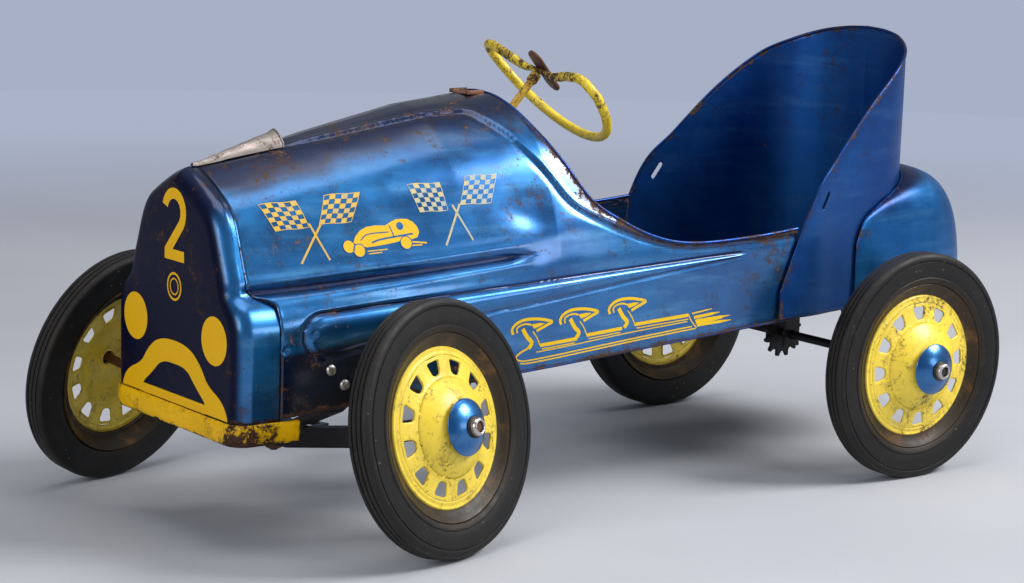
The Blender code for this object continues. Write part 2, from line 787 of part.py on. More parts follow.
def axle_nut(name, parent, place):
    """The dark washer and the bright round nut on the axle's end."""
    hole = AXLE_R + GAP
    profile = [
        (NUT_BASE, hole), (NUT_BASE, 10.5 * MM), (NUT_BASE + 1.6 * MM, 10.5 * MM),
        (NUT_BASE + 1.8 * MM, 8.8 * MM), (NUT_BASE + 6.4 * MM, 8.6 * MM), (NUT_BASE + 7.6 * MM, 7.2 * MM),
        (NUT_BASE + 7.6 * MM, hole),
    ]
    nut = add_object(name, lathe_mesh(profile, 20), "bright_steel", parent)
    nut.location = place
    return nut


def wheel(code, parent, rotation, location):
    """Tyre, pressing and hub cap around one holder that sits on the spin axis."""
    rotation = (math.radians(WHEEL_TURNS[code]), *rotation[1:])
    holder = empty("wheel_axis_" + code, location, rotation, parent)
    tyre("tyre_" + code, holder)
    wheel_disc("wheel_disc_" + code, holder)
    hub_cap("hub_cap_" + code, holder)
    return holder


# ---- front axle -----------------------------------------------------------------------------


def beam_height(reach):
    """Height of the front beam's middle line at a distance from the kingpin: it rises in two runs."""
    end = AXLE_Z - SPINDLE_DROP - (FRONT_TRACK_HALF - BEAM_END) * math.tan(SPINDLE_RISE)
    bend = BEAM_MIDDLE_Z + (BEAM_BEND - BEAM_FLAT) * BEAM_SLOPE
    if reach < BEAM_BEND:
        return BEAM_MIDDLE_Z + max(reach - BEAM_FLAT, 0) * BEAM_SLOPE
    return bend + (end - bend) * (reach - BEAM_BEND) / (BEAM_END - BEAM_BEND)


def front_axle():
    holder = empty("front_axle_pivot", (0, KINGPIN_Y, 0), (0, 0, REST_STEER))
    line = []
    for reach in (-BEAM_END, -BEAM_BEND, -BEAM_FLAT, BEAM_FLAT, BEAM_BEND, BEAM_END):
        line.append((reach, beam_height(abs(reach))))
    half_tall = BEAM_TALL / 2
    outline = [(x, z + half_tall) for x, z in line] + [(x, z - half_tall) for x, z in reversed(line)]
    builder = extrude_outline(outline, -BEAM_DEEP / 2, BEAM_DEEP / 2, axis="Y")
    beam = add_object("front_beam", builder, "black_steel", holder, smooth=0)
    eye = cylinder_cutter("kingpin eye", (0, KINGPIN_Y, 90 * MM), KINGPIN_R + 0.4 * MM, 60 * MM, "Z")
    cut(beam, eye)
    settle(beam, eye)
    arm_low = beam_height(0) - 3 * MM
    front = BEAM_DEEP / 2 + GAP
    plate = [
        (-9 * MM, front), (9 * MM, front), (9 * MM, 34 * MM), (14 * MM, 44 * MM), (14 * MM, 66 * MM),
        (-14 * MM, 66 * MM), (-14 * MM, 44 * MM), (-9 * MM, 34 * MM),
    ]
    arm = add_object("steering_arm", extrude_outline(plate, arm_low, arm_low + 4 * MM, axis="Z"),
                     "black_steel", holder, smooth=0)
    slot = box_mesh((-8 * MM, 44 * MM, arm_low - 5 * MM), (8 * MM, 61 * MM, arm_low + 9 * MM))
    slot_mesh = bpy.data.meshes.new("arm slot")
    slot.to_mesh(slot_mesh)
    slot.free()
    slot_cutter = bpy.data.objects.new("arm slot", slot_mesh)
    slot_cutter.parent = holder
    bpy.context.collection.objects.link(slot_cutter)
    cut(arm, slot_cutter)
    settle(arm, slot_cutter)
    for side, code in ((1, "front_left"), (-1, "front_right")):
        place = (side * FRONT_TRACK_HALF, 0, AXLE_Z - SPINDLE_DROP)
        rotation = (0, -SPINDLE_RISE, 0) if side > 0 else (0, math.pi + SPINDLE_RISE, 0)
        stub = empty("spindle_" + code, place, rotation, holder)
        inner = -(FRONT_TRACK_HALF - BEAM_END) / math.cos(SPINDLE_RISE) + 2.4 * MM
        outer = AXLE_STUB + MM
        bar = [(inner, 0), (inner, AXLE_R), (AXLE_STUB, AXLE_R), (outer, AXLE_R - MM), (outer, 0)]
        add_object("spindle_bar_" + code, lathe_mesh(bar, 18), "rusty_steel", stub)
        axle_nut("axle_nut_" + code, stub, (0, 0, 0))
        wheel(code, stub, (0, 0, 0), (0, 0, 0))


# ---- rear axle ------------------------------------------------------------------------------


def sprocket(name, teeth, parent, bore, web_holes=0):
    """A flat chain wheel for half-inch chain, with a round bore and optional lightening holes."""
    pitch_r = CHAIN_PITCH / (2 * math.sin(math.pi / teeth))
    root_r = pitch_r - 4.1 * MM
    tip_r = pitch_r + 3 * MM
    outline = []
    for tooth in range(teeth):
        base = math.tau * tooth / teeth
        step = math.tau / teeth
        for share, radius in ((0.0, root_r), (0.22, root_r + 1.5 * MM), (0.4, tip_r), (0.6, tip_r),
                              (0.78, root_r + 1.5 * MM)):
            angle = base + step * share
            outline.append((radius * math.cos(angle), radius * math.sin(angle)))
    builder = extrude_outline(outline, -1.7 * MM, 1.7 * MM)
    wheel_object = add_object(name, builder, "black_steel", parent, smooth=0)
    holes = bmesh.new()
    add_drill(holes, (0, 0, 0), bore, 20)
    for number in range(web_holes):
        angle = math.tau * (number + 0.5) / web_holes
        middle = pitch_r * 0.58
        add_drill(holes, (0, middle * math.cos(angle), middle * math.sin(angle)), pitch_r * 0.2, 14)
    drill = mesh_only(name + " holes", holes)
    drill.parent = parent
    cut(wheel_object, drill)
    return settle(wheel_object, drill)


def add_drill(builder, center, radius, sides):
    """Add a cylinder along X to a cutter's mesh."""
    cone = bmesh.ops.create_cone(
        builder, cap_ends=True, segments=sides, radius1=radius, radius2=radius, depth=20 * MM,
    )
    bmesh.ops.rotate(builder, matrix=Matrix.Rotation(math.pi / 2, 3, "Y"), verts=cone["verts"])
    bmesh.ops.translate(builder, vec=center, verts=cone["verts"])


def rear_axle():
    holder = empty("rear_axle_axis", (0, 0, AXLE_Z))
    reach = REAR_TRACK_HALF + AXLE_STUB
    bar = [
        (-reach - MM, 0), (-reach - MM, AXLE_R - MM), (-reach, AXLE_R),
        (reach, AXLE_R), (reach + MM, AXLE_R - MM), (reach + MM, 0),
    ]
    add_object("rear_axle", lathe_mesh(bar, 18), "black_steel", holder)
    sprocket("rear_sprocket", REAR_TEETH, holder, AXLE_R + GAP)
    for side, code in ((1, "rear_left"), (-1, "rear_right")):
        rotation = (0, 0, 0) if side > 0 else (0, 0, math.pi)
        end = wheel(code, holder, rotation, (side * REAR_TRACK_HALF, 0, 0))
        axle_nut("axle_nut_" + code, end, (0, 0, 0))


# ---- crank ----------------------------------------------------------------------------------


def crank():
    """The one-piece crank with its chainring and two pedals, the left pedal forward."""
    holder = empty("crank_axis", (0, CRANK_Y, rail_height(CRANK_Y)), (math.radians(-8), 0, 0))
    throw = CRANK_THROW
    corners = [
        (PEDAL_END_X, -throw, 0), (CRANK_ARM_X, -throw, 0), (CRANK_ARM_X, 0, 0),
        (-CRANK_ARM_X, 0, 0), (-CRANK_ARM_X, throw, 0), (-PEDAL_END_X, throw, 0),
    ]
    rod_object("crank", filleted(corners, 8 * MM), CRANK_R, "rusty_steel", holder)
    sprocket("chainring", CRANK_TEETH, holder, CRANK_R + GAP, web_holes=5)
    for side, name in ((1, "pedal_left"), (-1, "pedal_right")):
        axis = empty("axis_" + name, (0, -side * throw, 0), (math.radians(8), 0, 0), holder)
        low, high = 68 * MM, 117 * MM
        if side < 0:
            low, high = -high, -low
        builder = box_mesh((low, -30 * MM, -10 * MM), (high, 30 * MM, 10 * MM), 3 * MM)
        pedal = add_object(name, builder, "tyre_rubber", axis, smooth=40)
        bore = cylinder_cutter("bore " + name, (0, 0, 0), CRANK_R + 0.5 * MM, 300 * MM, "X")
        bore.parent = axis
        cut(pedal, bore)
        settle(pedal, bore)
        cap = [(0, 0), (0, 8 * MM), (2 * MM, 8 * MM), (3.5 * MM, 6 * MM), (3.5 * MM, 0)]
        end = add_object("pedal_cap_" + name[6:], lathe_mesh(cap, 16), "rusty_steel", holder)
        end.location = (side * (PEDAL_END_X + GAP), -side * throw, 0)
        end.rotation_euler = (0, 0, 0 if side > 0 else math.pi)


# ---- steering -------------------------------------------------------------------------------


def steering():
    """The column, its bent lower end, the D-shaped rim and the hub plate, around the column's axis."""
    tilt = math.pi / 2 - COLUMN_ANGLE
    holder = empty("column_axis", HUB, (-tilt, 0, 0))
    lever = REST_STEER * 1.5
    foot = Vector((-math.sin(lever), math.cos(lever), 0)) * COLUMN_THROW
    low = -COLUMN_LENGTH
    corners = [
        (0, 0, -4 * MM), (0, 0, low), (foot.x, foot.y, low), (foot.x, foot.y, low - 12 * MM),
    ]
    rod_object("steering_column", filleted(corners, 8 * MM), COLUMN_R, "yellow_paint", holder)
    bow = [(x, y, RIM_CENTER[2], 1) for x, y in arc(RIM_CENTER, RIM_R, 172, 8, 32)]
    route = bow + list(RIM_BAR)
    rim = rod_object(
        "steering_wheel", [(x * MM, y * MM, z * MM) for x, y, z, _ in route], RIM_TUBE_R, "yellow_paint",
        holder, sides=3, cyclic=True,
    )
    for knot, (_, _, _, share) in zip(rim.data.splines[0].points, route):
        knot.radius = share
    rim.rotation_euler = RIM_LEAN
    plate = [(x * MM, y * MM) for x, y in arc((0, 21), 11, 0, 180, 8) + arc((0, -13), 11, 180, 360, 8)]
    top = add_object("steering_hub_plate", extrude_outline(plate, 0, 3.8 * MM, axis="Z"), "rusty_steel", holder)
    top.matrix_local = Euler(RIM_LEAN).to_matrix().to_4x4() @ Matrix.Translation((0, 0, 3.3 * MM))


def mesh_only(name, builder):
    mesh = bpy.data.meshes.new(name)
    builder.to_mesh(mesh)
    builder.free()
    thing = bpy.data.objects.new(name, mesh)
    bpy.context.collection.objects.link(thing)
    return thing


def column_supports():
    """A strap across the cowl and a plate between the rails, each with a hole for the column."""
    direction = Vector((0, math.cos(COLUMN_ANGLE), math.sin(COLUMN_ANGLE)))
    upper = HUB - direction * 92 * MM
    strap_low = (-DASH_HALF, upper.y - 1.5 * MM, upper.z - 13 * MM)
    strap_high = (DASH_HALF, upper.y + 1.5 * MM, upper.z + 13 * MM)
    strap = box_mesh(strap_low, strap_high, 0.4 * MM)
    dash = add_object("dash_strap", strap, "black_steel", smooth=0)
    lower = HUB - direction * 376 * MM
    foot_low = rail_height(lower.y) + RAIL_TALL / 2 + GAP
    plate_low = (-52 * MM, lower.y - 1.5 * MM, foot_low)
    plate_high = (52 * MM, lower.y + 1.5 * MM, foot_low + 26 * MM)
    foot = add_object("column_foot", box_mesh(plate_low, plate_high, 0.4 * MM), "black_steel", smooth=0)
    for plate, where in ((dash, upper), (foot, lower)):
        hole = cylinder_cutter("column hole", (0, 0, 0), COLUMN_R + 1 * MM, 60 * MM, "Z")
        hole.location = where
        hole.rotation_euler = (-(math.pi / 2 - COLUMN_ANGLE), 0, 0)
        cut(plate, hole)
        settle(plate, hole)


def set_on_ground():
    """Carry every piece from the datum to the car's own frame."""
    ground = empty("ground_level", BASE_SHIFT)
    for thing in bpy.data.objects:
        if thing.parent is None and thing is not ground:
            thing.parent = ground


def build():
    clear_scene()
    body_shell()
    nose_cap()
    bumper_strip()
    hood_scoop()
    cowl_bracket()
    seat_back()
    tail_deck()
    seat_pan()
    rails()
    front_crossmember()
    kingpin()
    body_bolts()
    rear_frame()
    front_axle()
    rear_axle()
    crank()
    steering()
    column_supports()
    set_on_ground()


build()
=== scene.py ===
"""Looks for the pedal car: fine pressed-steel skins, wheels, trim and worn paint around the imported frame.

Lengths in the tables are millimetres from the point under the rear axle; W() carries them to the
row frame. The car drives toward -Y and its left side faces +X.
"""

import math

import bmesh
import bpy
import numpy as np
from mathutils import Euler, Matrix, Vector, noise


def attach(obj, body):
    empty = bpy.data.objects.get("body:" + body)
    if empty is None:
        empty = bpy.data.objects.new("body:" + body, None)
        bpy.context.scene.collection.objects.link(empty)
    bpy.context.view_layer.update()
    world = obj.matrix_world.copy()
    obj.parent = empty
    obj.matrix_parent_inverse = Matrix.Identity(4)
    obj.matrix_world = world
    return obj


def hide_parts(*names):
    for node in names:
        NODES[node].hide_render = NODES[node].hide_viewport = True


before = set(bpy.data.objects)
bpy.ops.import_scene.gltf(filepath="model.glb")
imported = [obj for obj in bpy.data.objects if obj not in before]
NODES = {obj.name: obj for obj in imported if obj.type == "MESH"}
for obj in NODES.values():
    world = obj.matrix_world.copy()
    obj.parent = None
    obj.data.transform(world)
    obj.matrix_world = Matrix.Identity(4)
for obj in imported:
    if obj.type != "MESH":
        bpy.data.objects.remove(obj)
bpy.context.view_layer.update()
MM = 0.001
SHIFT = (0.0, 322.0, -5.0)
SHEET, SEAT_SHEET, LIP_SHEET, THIN_SHEET = 1.1 * MM, 1.2 * MM, 1.4 * MM, 0.9 * MM
MERGE = 0.01 * MM  # points nearer than this are one


def W(p):
    return ((p[0] + SHIFT[0]) * MM, (p[1] + SHIFT[1]) * MM, (p[2] + SHIFT[2]) * MM)


def local(p):
    return (p[0] * MM, p[1] * MM, p[2] * MM)


# ---------------------------------------------------------------- small maths


def smooth(low, high, value):
    t = min(max((value - low) / (high - low), 0.0), 1.0)
    return t * t * (3 - 2 * t)


def bell(offset, width):
    return math.exp(-((offset / width) ** 2))


def table(points, at):
    """Straight-line interpolation through (key, value) pairs."""
    if at <= points[0][0]:
        return points[0][1]
    for (a, va), (b, vb) in zip(points, points[1:]):
        if at <= b:
            return va + (vb - va) * (at - a) / (b - a)
    return points[-1][1]


def curve_at(keys, place):
    """A smooth curve through the keys, which lie at places 0, 1, 2 and so on."""
    last = len(keys) - 1
    first = min(int(place), last - 1)
    t = place - first
    here = [keys[max(first - 1, 0)], keys[first], keys[first + 1], keys[min(first + 2, last)]]
    ws = (
        (-t + 2 * t**2 - t**3) / 2,
        (2 - 5 * t**2 + 3 * t**3) / 2,
        (t + 4 * t**2 - 3 * t**3) / 2,
        (-(t**2) + t**3) / 2,
    )
    return tuple(sum(w * k[i] for w, k in zip(ws, here)) for i in range(len(keys[0])))


def curve_points(keys, count):
    return [curve_at(keys, s / (count - 1) * (len(keys) - 1)) for s in range(count)]


def arc(center, radius, start, end, steps):
    found = []
    for step in range(steps + 1):
        a = math.radians(start + (end - start) * step / steps)
        found.append((center[0] + radius * math.cos(a), center[1] + radius * math.sin(a)))
    return found


def both_sides(half):
    """A line on the car's left carried on across the middle by its mirror image."""
    return half + [(-p[0], *p[1:]) for p in half[::-1][1:]]


# ---------------------------------------------------------------- mesh makers


def link(name, mesh, material, body, replaces=(), angle=42, matrix=None):
    """Put a mesh in the scene as a piece on a body; shading turns sharp above angle degrees."""
    mesh.name = name
    thing = bpy.data.objects.new(name, mesh)
    bpy.context.scene.collection.objects.link(thing)
    mesh.materials.append(material)
    mesh.shade_smooth()
    mesh.set_sharp_from_angle(angle=math.radians(angle))
    if matrix is not None:
        mesh.transform(matrix)
    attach(thing, body)
    if replaces:
        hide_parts(*replaces)
    return thing


def mesh_of(b):
    mesh = bpy.data.meshes.new("piece")
    b.to_mesh(mesh)
    b.free()
    return mesh


def reworked(mesh, change):
    """Edit a mesh in place with a function of its bmesh."""
    b = bmesh.new()
    b.from_mesh(mesh)
    change(b)
    b.to_mesh(mesh)
    b.free()
    return mesh


def even_out(b):
    bmesh.ops.recalc_face_normals(b, faces=b.faces)


def face_out(b, axis=0, sign=1):
    """Face a sheet one way all over, so that its farthest face along the axis looks outward."""
    even_out(b)
    tip = max(b.faces, key=lambda f: sign * f.calc_center_median()[axis])
    if sign * tip.normal[axis] < 0:
        bmesh.ops.reverse_faces(b, faces=b.faces)


def prism(b, low, high):
    """A closed block between two outlines with as many points."""
    ends = [[b.verts.new(p) for p in outline] for outline in (low, high)]
    b.faces.new(ends[0])
    b.faces.new(ends[1][::-1])
    for i in range(len(low)):
        j = (i + 1) % len(low)
        b.faces.new((ends[0][i], ends[0][j], ends[1][j], ends[1][i]))
    even_out(b)


def grid(rows, closed=False, place=W, **attributes):
    """A sheet through rows of points; each attribute holds a number per point."""
    mesh = bpy.data.meshes.new("piece")
    width = len(rows[0])
    verts = [place(p) for row in rows for p in row]
    faces = []
    for r in range(len(rows) - 1):
        for c in range(width if closed else width - 1):
            d = (c + 1) % width
            faces.append((r * width + c, r * width + d, (r + 1) * width + d, (r + 1) * width + c))
    mesh.from_pydata(verts, [], faces)
    for label, values in attributes.items():
        layer = mesh.attributes.new(label, "FLOAT", "POINT")
        layer.data.foreach_set("value", np.array(values, np.float32).reshape(-1))
    mesh.validate()
    return mesh


class Sheet:
    """Rows of points, each with its distance from the nearest edge, its rust and its painted shade."""

    def __init__(self):
        self.rows, self.edges, self.ages, self.shades = [], [], [], []

    def add(self, row, edges, ages, shades):
        self.rows.append(row)
        self.edges.append(edges)
        self.ages.append(ages)
        self.shades.append(shades)

    def mesh(self):
        return grid(self.rows, edge_mm=self.edges, age=self.ages, shade=self.shades)


def mirrored(mesh):
    """Join the sheet's mirror image to it across X = 0, and face the whole sheet outward."""

    def change(b):
        for v in b.verts:
            if abs(v.co.x) < 6 * MERGE:
                v.co.x = 0
        bmesh.ops.mirror(b, geom=b.verts[:] + b.edges[:] + b.faces[:], axis="X", merge_dist=MERGE)
        bmesh.ops.remove_doubles(b, verts=b.verts, dist=MERGE)
        face_out(b)

    return reworked(mesh, change)


def apply_modifiers(thing):
    graph = bpy.context.evaluated_depsgraph_get()
    thing.data = bpy.data.meshes.new_from_object(
        thing.evaluated_get(graph), preserve_all_data_layers=True, depsgraph=graph)
    thing.modifiers.clear()


def thicken(thing, thickness=SHEET):
    sheet = thing.modifiers.new("sheet", "SOLIDIFY")
    sheet.thickness = thickness
    sheet.offset = -1.0
    apply_modifiers(thing)


def tube(route, radius, sides=10, closed=False, place=W, sizes=None, ages=None):
    """A round bead swept along a route, with flat ends unless it closes on itself."""
    pts = [Vector(p) for p in route]
    count = len(pts)
    verts, faces = [], []
    normal = None
    for i, p in enumerate(pts):
        a = pts[i - 1] if (i or closed) else p
        z = pts[(i + 1) % count] if (i < count - 1 or closed) else p
        run = (z - a).normalized()
        if normal is None:
            normal = run.cross(Vector((0, 0, 1))).normalized()
            if normal.length < 0.5:
                normal = Vector((1, 0, 0))
        normal = (normal - run * normal.dot(run)).normalized()
        other = run.cross(normal)
        size = radius * (sizes[i] if sizes else 1.0)
        for s in range(sides):
            t = math.tau * s / sides
            verts.append(place(p + normal * math.cos(t) * size + other * math.sin(t) * size))
    for i in range(count if closed else count - 1):
        j = (i + 1) % count
        for s in range(sides):
            u = (s + 1) % sides
            faces.append((i * sides + s, i * sides + u, j * sides + u, j * sides + s))
    if not closed:
        faces.append(tuple(range(sides))[::-1])
        faces.append(tuple((count - 1) * sides + s for s in range(sides)))
    mesh = bpy.data.meshes.new("piece")
    mesh.from_pydata(verts, [], faces)
    if ages:
        layer = mesh.attributes.new("age", "FLOAT", "POINT")
        layer.data.foreach_set("value", np.repeat(np.array(ages, np.float32), sides))
    mesh.validate()
    return reworked(mesh, even_out)


def lathe(profile, segments):
    """A turned shape about local X from the (along, radius) points of a closed profile in mm."""
    profile = [*profile, profile[0]]
    turns = [math.tau * s / segments for s in range(segments)]
    rows = [[(along, r * math.cos(t), r * math.sin(t)) for t in turns] for along, r in profile]
    mesh = grid(rows, closed=True, place=local, radius_mm=[[r] * segments for _, r in profile])

    def change(b):
        bmesh.ops.remove_doubles(b, verts=b.verts, dist=MERGE / 2)
        even_out(b)

    return reworked(mesh, change)


# ---------------------------------------------------------------- materials


class Wire:
    """A node's output, which can be added, subtracted and multiplied like a number."""

    def __init__(self, nodes, socket):
        self.nodes, self.socket = nodes, socket

    def __add__(self, other):
        return self.nodes.math("ADD", self, other)

    def __sub__(self, other):
        return self.nodes.math("SUBTRACT", self, other)

    def __mul__(self, other):
        return self.nodes.math("MULTIPLY", self, other)


class Nodes:
    """A Principled material and short calls to build its node graph."""

    def __init__(self, name):
        self.material = bpy.data.materials.new(name)
        self.material.use_nodes = True
        self.tree = self.material.node_tree
        self.shader = self.tree.nodes["Principled BSDF"]
        self.coord = Wire(self, self.tree.nodes.new("ShaderNodeTexCoord").outputs["Object"])

    def put(self, socket, value):
        if isinstance(value, Wire):
            self.tree.links.new(value.socket, socket)
        else:
            socket.default_value = value

    def add(self, kind, output, inputs, **settings):
        """A new node with its inputs filled, as one of its outputs."""
        node = self.tree.nodes.new(kind)
        for key, value in settings.items():
            setattr(node, key, value)
        for key, value in inputs.items():
            self.put(node.inputs[key], value)
        return Wire(self, node.outputs[output])

    def set(self, **values):
        for key, value in values.items():
            self.put(self.shader.inputs[key.replace("_", " ")], value)

    def scaled(self, x, y, z):
        return self.add("ShaderNodeMapping", "Vector", {"Scale": (x, y, z), "Vector": self.coord})

    def noise(self, scale, detail, rough, warp=0.0, vector=None):
        return self.add("ShaderNodeTexNoise", "Fac", {
            "Vector": vector or self.coord, "Scale": scale, "Detail": detail, "Roughness": rough,
            "Distortion": warp})

    def cells(self, scale):
        return self.add("ShaderNodeTexVoronoi", "Distance", {"Vector": self.coord, "Scale": scale})

    def math(self, kind, a, b=0.0):
        return self.add("ShaderNodeMath", 0, {0: a, 1: b}, operation=kind)

    def range(self, value, low, high, to_low=0.0, to_high=1.0):
        return self.add("ShaderNodeMapRange", "Result", {
            "Value": value, "From Min": low, "From Max": high, "To Min": to_low, "To Max": to_high,
        }, interpolation_type="SMOOTHSTEP")

    def mix(self, factor, a, b):
        return self.add("ShaderNodeMix", 2, {0: factor, 6: a, 7: b}, data_type="RGBA")

    def blend(self, factor, a, b):
        return self.add("ShaderNodeMix", 0, {0: factor, 2: a, 3: b}, data_type="FLOAT")

    def attribute(self, name):
        return self.add("ShaderNodeAttribute", "Fac", {}, attribute_name=name)

    def axis(self, letter):
        return self.add("ShaderNodeSeparateXYZ", letter, {0: self.coord})

    def bump(self, height, strength, distance):
        self.set(Normal=self.add("ShaderNodeBump", "Normal", {
            "Height": height, "Strength": strength, "Distance": distance}))


def rgb(r, g, b):
    """An sRGB colour as the linear value that a shader takes."""
    return (*[((v / 255 + 0.055) / 1.055) ** 2.4 if v > 10 else v / 255 / 12.92 for v in (r, g, b)], 1.0)


def scaled_tint(tint, by):
    return (*[min(c * by, 1) for c in tint[:3]], 1)


RUST_DARK = rgb(48, 33, 27)
RUST_MID = rgb(80, 52, 38)
RUST_LIGHT = rgb(126, 86, 60)
PAINT_GOES = 0.618  # the wear at which unweathered paint comes off
NOSE_FLAT_FROM, NOSE_FLAT_TO = -0.4565, -0.4635  # where the nose turns from its side to its face
PAINT_METAL = 0.88


def worn(g, paint, rough, metal, coat, amount, edge=None, grain=1.0, aged=None, sheen=0.5):
    """Paint over rusting steel: chips, freckles and rubbed edges; amount moves how much has gone."""
    low = PAINT_GOES - amount
    broad = g.noise(7 * grain, 5, 0.6)
    patch = g.noise(48 * grain, 9, 0.72, 0.6)
    fine = g.noise(240 * grain, 6, 0.75, 0.3)
    loss = patch * 0.6 + fine * 0.4 + (broad - 0.5) * 0.34
    if edge is not None:
        loss += edge * 0.2
    if aged is not None:
        loss += aged * 0.085
    gone = g.range(loss, low, low + 0.03)
    stain = g.range(loss, low - 0.09, low + 0.03)
    freckle = g.range(g.cells(150 * grain), 0.2, 0.08) * g.range(loss, low - 0.115, low - 0.06)
    bare = g.math("MAXIMUM", gone, freckle * 0.9)
    rust = g.mix(g.range(fine, 0.35, 0.65), RUST_DARK, RUST_MID)
    rust = g.mix(g.range(patch, 0.6, 0.72), rust, RUST_LIGHT)
    g.set(
        Base_Color=g.mix(bare, g.mix(stain * 0.6, paint, RUST_DARK), rust),
        Metallic=g.blend(bare, metal, 0.15), Roughness=g.blend(bare, rough, 0.82),
        Coat_Weight=g.blend(bare, coat, 0.0), Coat_Roughness=0.2, Specular_IOR_Level=sheen)
    g.bump(bare * -0.6 + g.noise(900, 2, 0.5) * 0.25 + fine * bare * 0.6, 0.35, 0.0004)


def edge_wear(g, reach, ragged=10.0):
    """1 at a sheet's edges, fading over reach millimetres with a ragged border."""
    return g.range(g.attribute("edge_mm") + (g.noise(70, 6, 0.7) - 0.5) * ragged, reach, 0.0)


def blue_body(name, amount, edge_reach=None, deep=0.0, nose=False, ages=True, coat=1.0,
              tint=(6, 24, 110), sheen=0.5, matt=0.0):
    """Metallic blue paint, deepened by so much toward a tint, and darkened with painted shade where the shade
    attribute is high.
    """
    g = Nodes(name)
    tone = g.noise(5, 4, 0.55)
    streak = g.noise(3.0, 5, 0.6, vector=g.scaled(3, 3, 22))
    mottle = g.noise(85, 6, 0.7)
    paint = g.mix(g.range(tone, 0.3, 0.7), rgb(10, 84, 148), rgb(28, 116, 180))
    paint = g.mix(g.range(streak, 0.45, 0.75) * 0.4, paint, rgb(92, 160, 208))
    paint = g.mix(g.range(mottle, 0.5, 0.75) * 0.35, paint, rgb(16, 70, 132))
    if deep:
        paint = g.mix(deep, paint, rgb(*tint))
    metal = PAINT_METAL
    rough = g.range(g.noise(30, 5, 0.6), 0.2, 0.8, 0.24 + matt, 0.4 + matt)
    # With ages, the shade attribute mixes painted shade of dark navy into the paint, and the age attribute adds
    # rust.
    if ages:
        painted_shade = g.range(g.attribute("shade") + (tone - 0.5) * 0.5, 0.1, 0.9)
        paint = g.mix(painted_shade * 0.93, paint, rgb(10, 20, 66))
    # With nose, the flat face is painted dark navy and made less metallic, rougher and nearly without coat:
    # painted shade of a face turned away from the lights.
    if nose:
        front = g.range(g.axis("Y"), NOSE_FLAT_FROM, NOSE_FLAT_TO)
        paint = g.mix(front, paint, rgb(5, 9, 40))
        metal = g.blend(front, PAINT_METAL, 0.1)
        rough = g.blend(front, rough, 0.4)
        coat = g.blend(front, coat, 0.02)
    edge = edge_wear(g, edge_reach) if edge_reach else None
    worn(g, paint, rough, metal, coat, amount, edge, aged=g.attribute("age") if ages else None, sheen=sheen)
    return g.material


def yellow_enamel(name, tint, amount, grime, grain, edge_reach=None, coat=0.2, sheen=0.4, ages=False):
    g = Nodes(name)
    paint = g.mix(g.range(g.noise(14, 5, 0.6), 0.3, 0.7), tint, scaled_tint(tint, 1.12))
    paint = g.mix(g.range(g.noise(26, 8, 0.7, 0.5), 0.48, 0.75) * grime, paint, rgb(120, 84, 30))
    rough = g.range(g.noise(40, 5, 0.6), 0.2, 0.8, 0.34, 0.54)
    edge = edge_wear(g, edge_reach) if edge_reach else None
    worn(g, paint, rough, 0.0, coat, amount, edge, grain, g.attribute("age") if ages else None, sheen)
    return g.material


def decal_ink(name, tint, under, amount, clear):
    """Printed colour rubbed through to the paint under it."""
    g = Nodes(name)
    rub = g.noise(60, 9, 0.75, 0.4)
    loss = rub * 0.6 + g.noise(18, 7, 0.7, vector=g.scaled(6, 6, 1.2)) * 0.4
    gone = g.range(loss, 0.62 - amount, 0.66 - amount)
    thin = g.range(loss, 0.40 - amount, 0.66 - amount, 0.0, clear)
    color = g.mix(gone, g.mix(thin, tint, under), under)
    color = g.mix(g.range(g.cells(260), 0.16, 0.05) * g.range(rub, 0.5, 0.6), color, RUST_DARK)
    g.set(Base_Color=color, Metallic=g.blend(gone, 0.0, 0.85), Roughness=0.5, Specular_IOR_Level=0.22)
    return g.material


def bright_metal(name, tint, rust, rough):
    g = Nodes(name)
    fine = g.noise(600, 5, 0.7)
    gone = g.range(g.noise(90, 9, 0.72, 0.5) * 0.7 + fine * 0.3, 0.60 - rust, 0.70 - rust)
    dull = g.noise(35, 6, 0.65)
    color = g.mix(g.range(dull, 0.35, 0.7), tint, scaled_tint(tint, 0.62))
    color = g.mix(gone, color, g.mix(g.range(fine, 0.4, 0.6), RUST_DARK, RUST_MID))
    base = g.range(dull, 0.3, 0.7, rough, rough + 0.22)
    g.set(Base_Color=color, Metallic=g.blend(gone, 1.0, 0.2), Roughness=g.blend(gone, base, 0.85))
    g.bump(gone * -0.5 + fine * 0.4, 0.3, 0.0003)
    return g.material


def dark_steel(name, tint, rust):
    g = Nodes(name)
    fine = g.noise(380, 6, 0.7)
    paler = rgb(*[int(v * 1.7 + 6) for v in tint])
    color = g.mix(g.range(g.noise(20, 6, 0.6), 0.35, 0.75), rgb(*tint), paler)
    gone = g.range(g.noise(60, 9, 0.7, 0.4) * 0.65 + fine * 0.35, 0.56 - rust, 0.66 - rust)
    color = g.mix(gone, color, g.mix(g.range(fine, 0.4, 0.6), RUST_DARK, RUST_MID))
    g.set(Base_Color=color, Metallic=g.blend(gone, 0.35, 0.1), Roughness=g.blend(gone, 0.5, 0.88))
    g.bump(fine * 0.6 + gone * 0.3, 0.4, 0.0004)
    return g.material


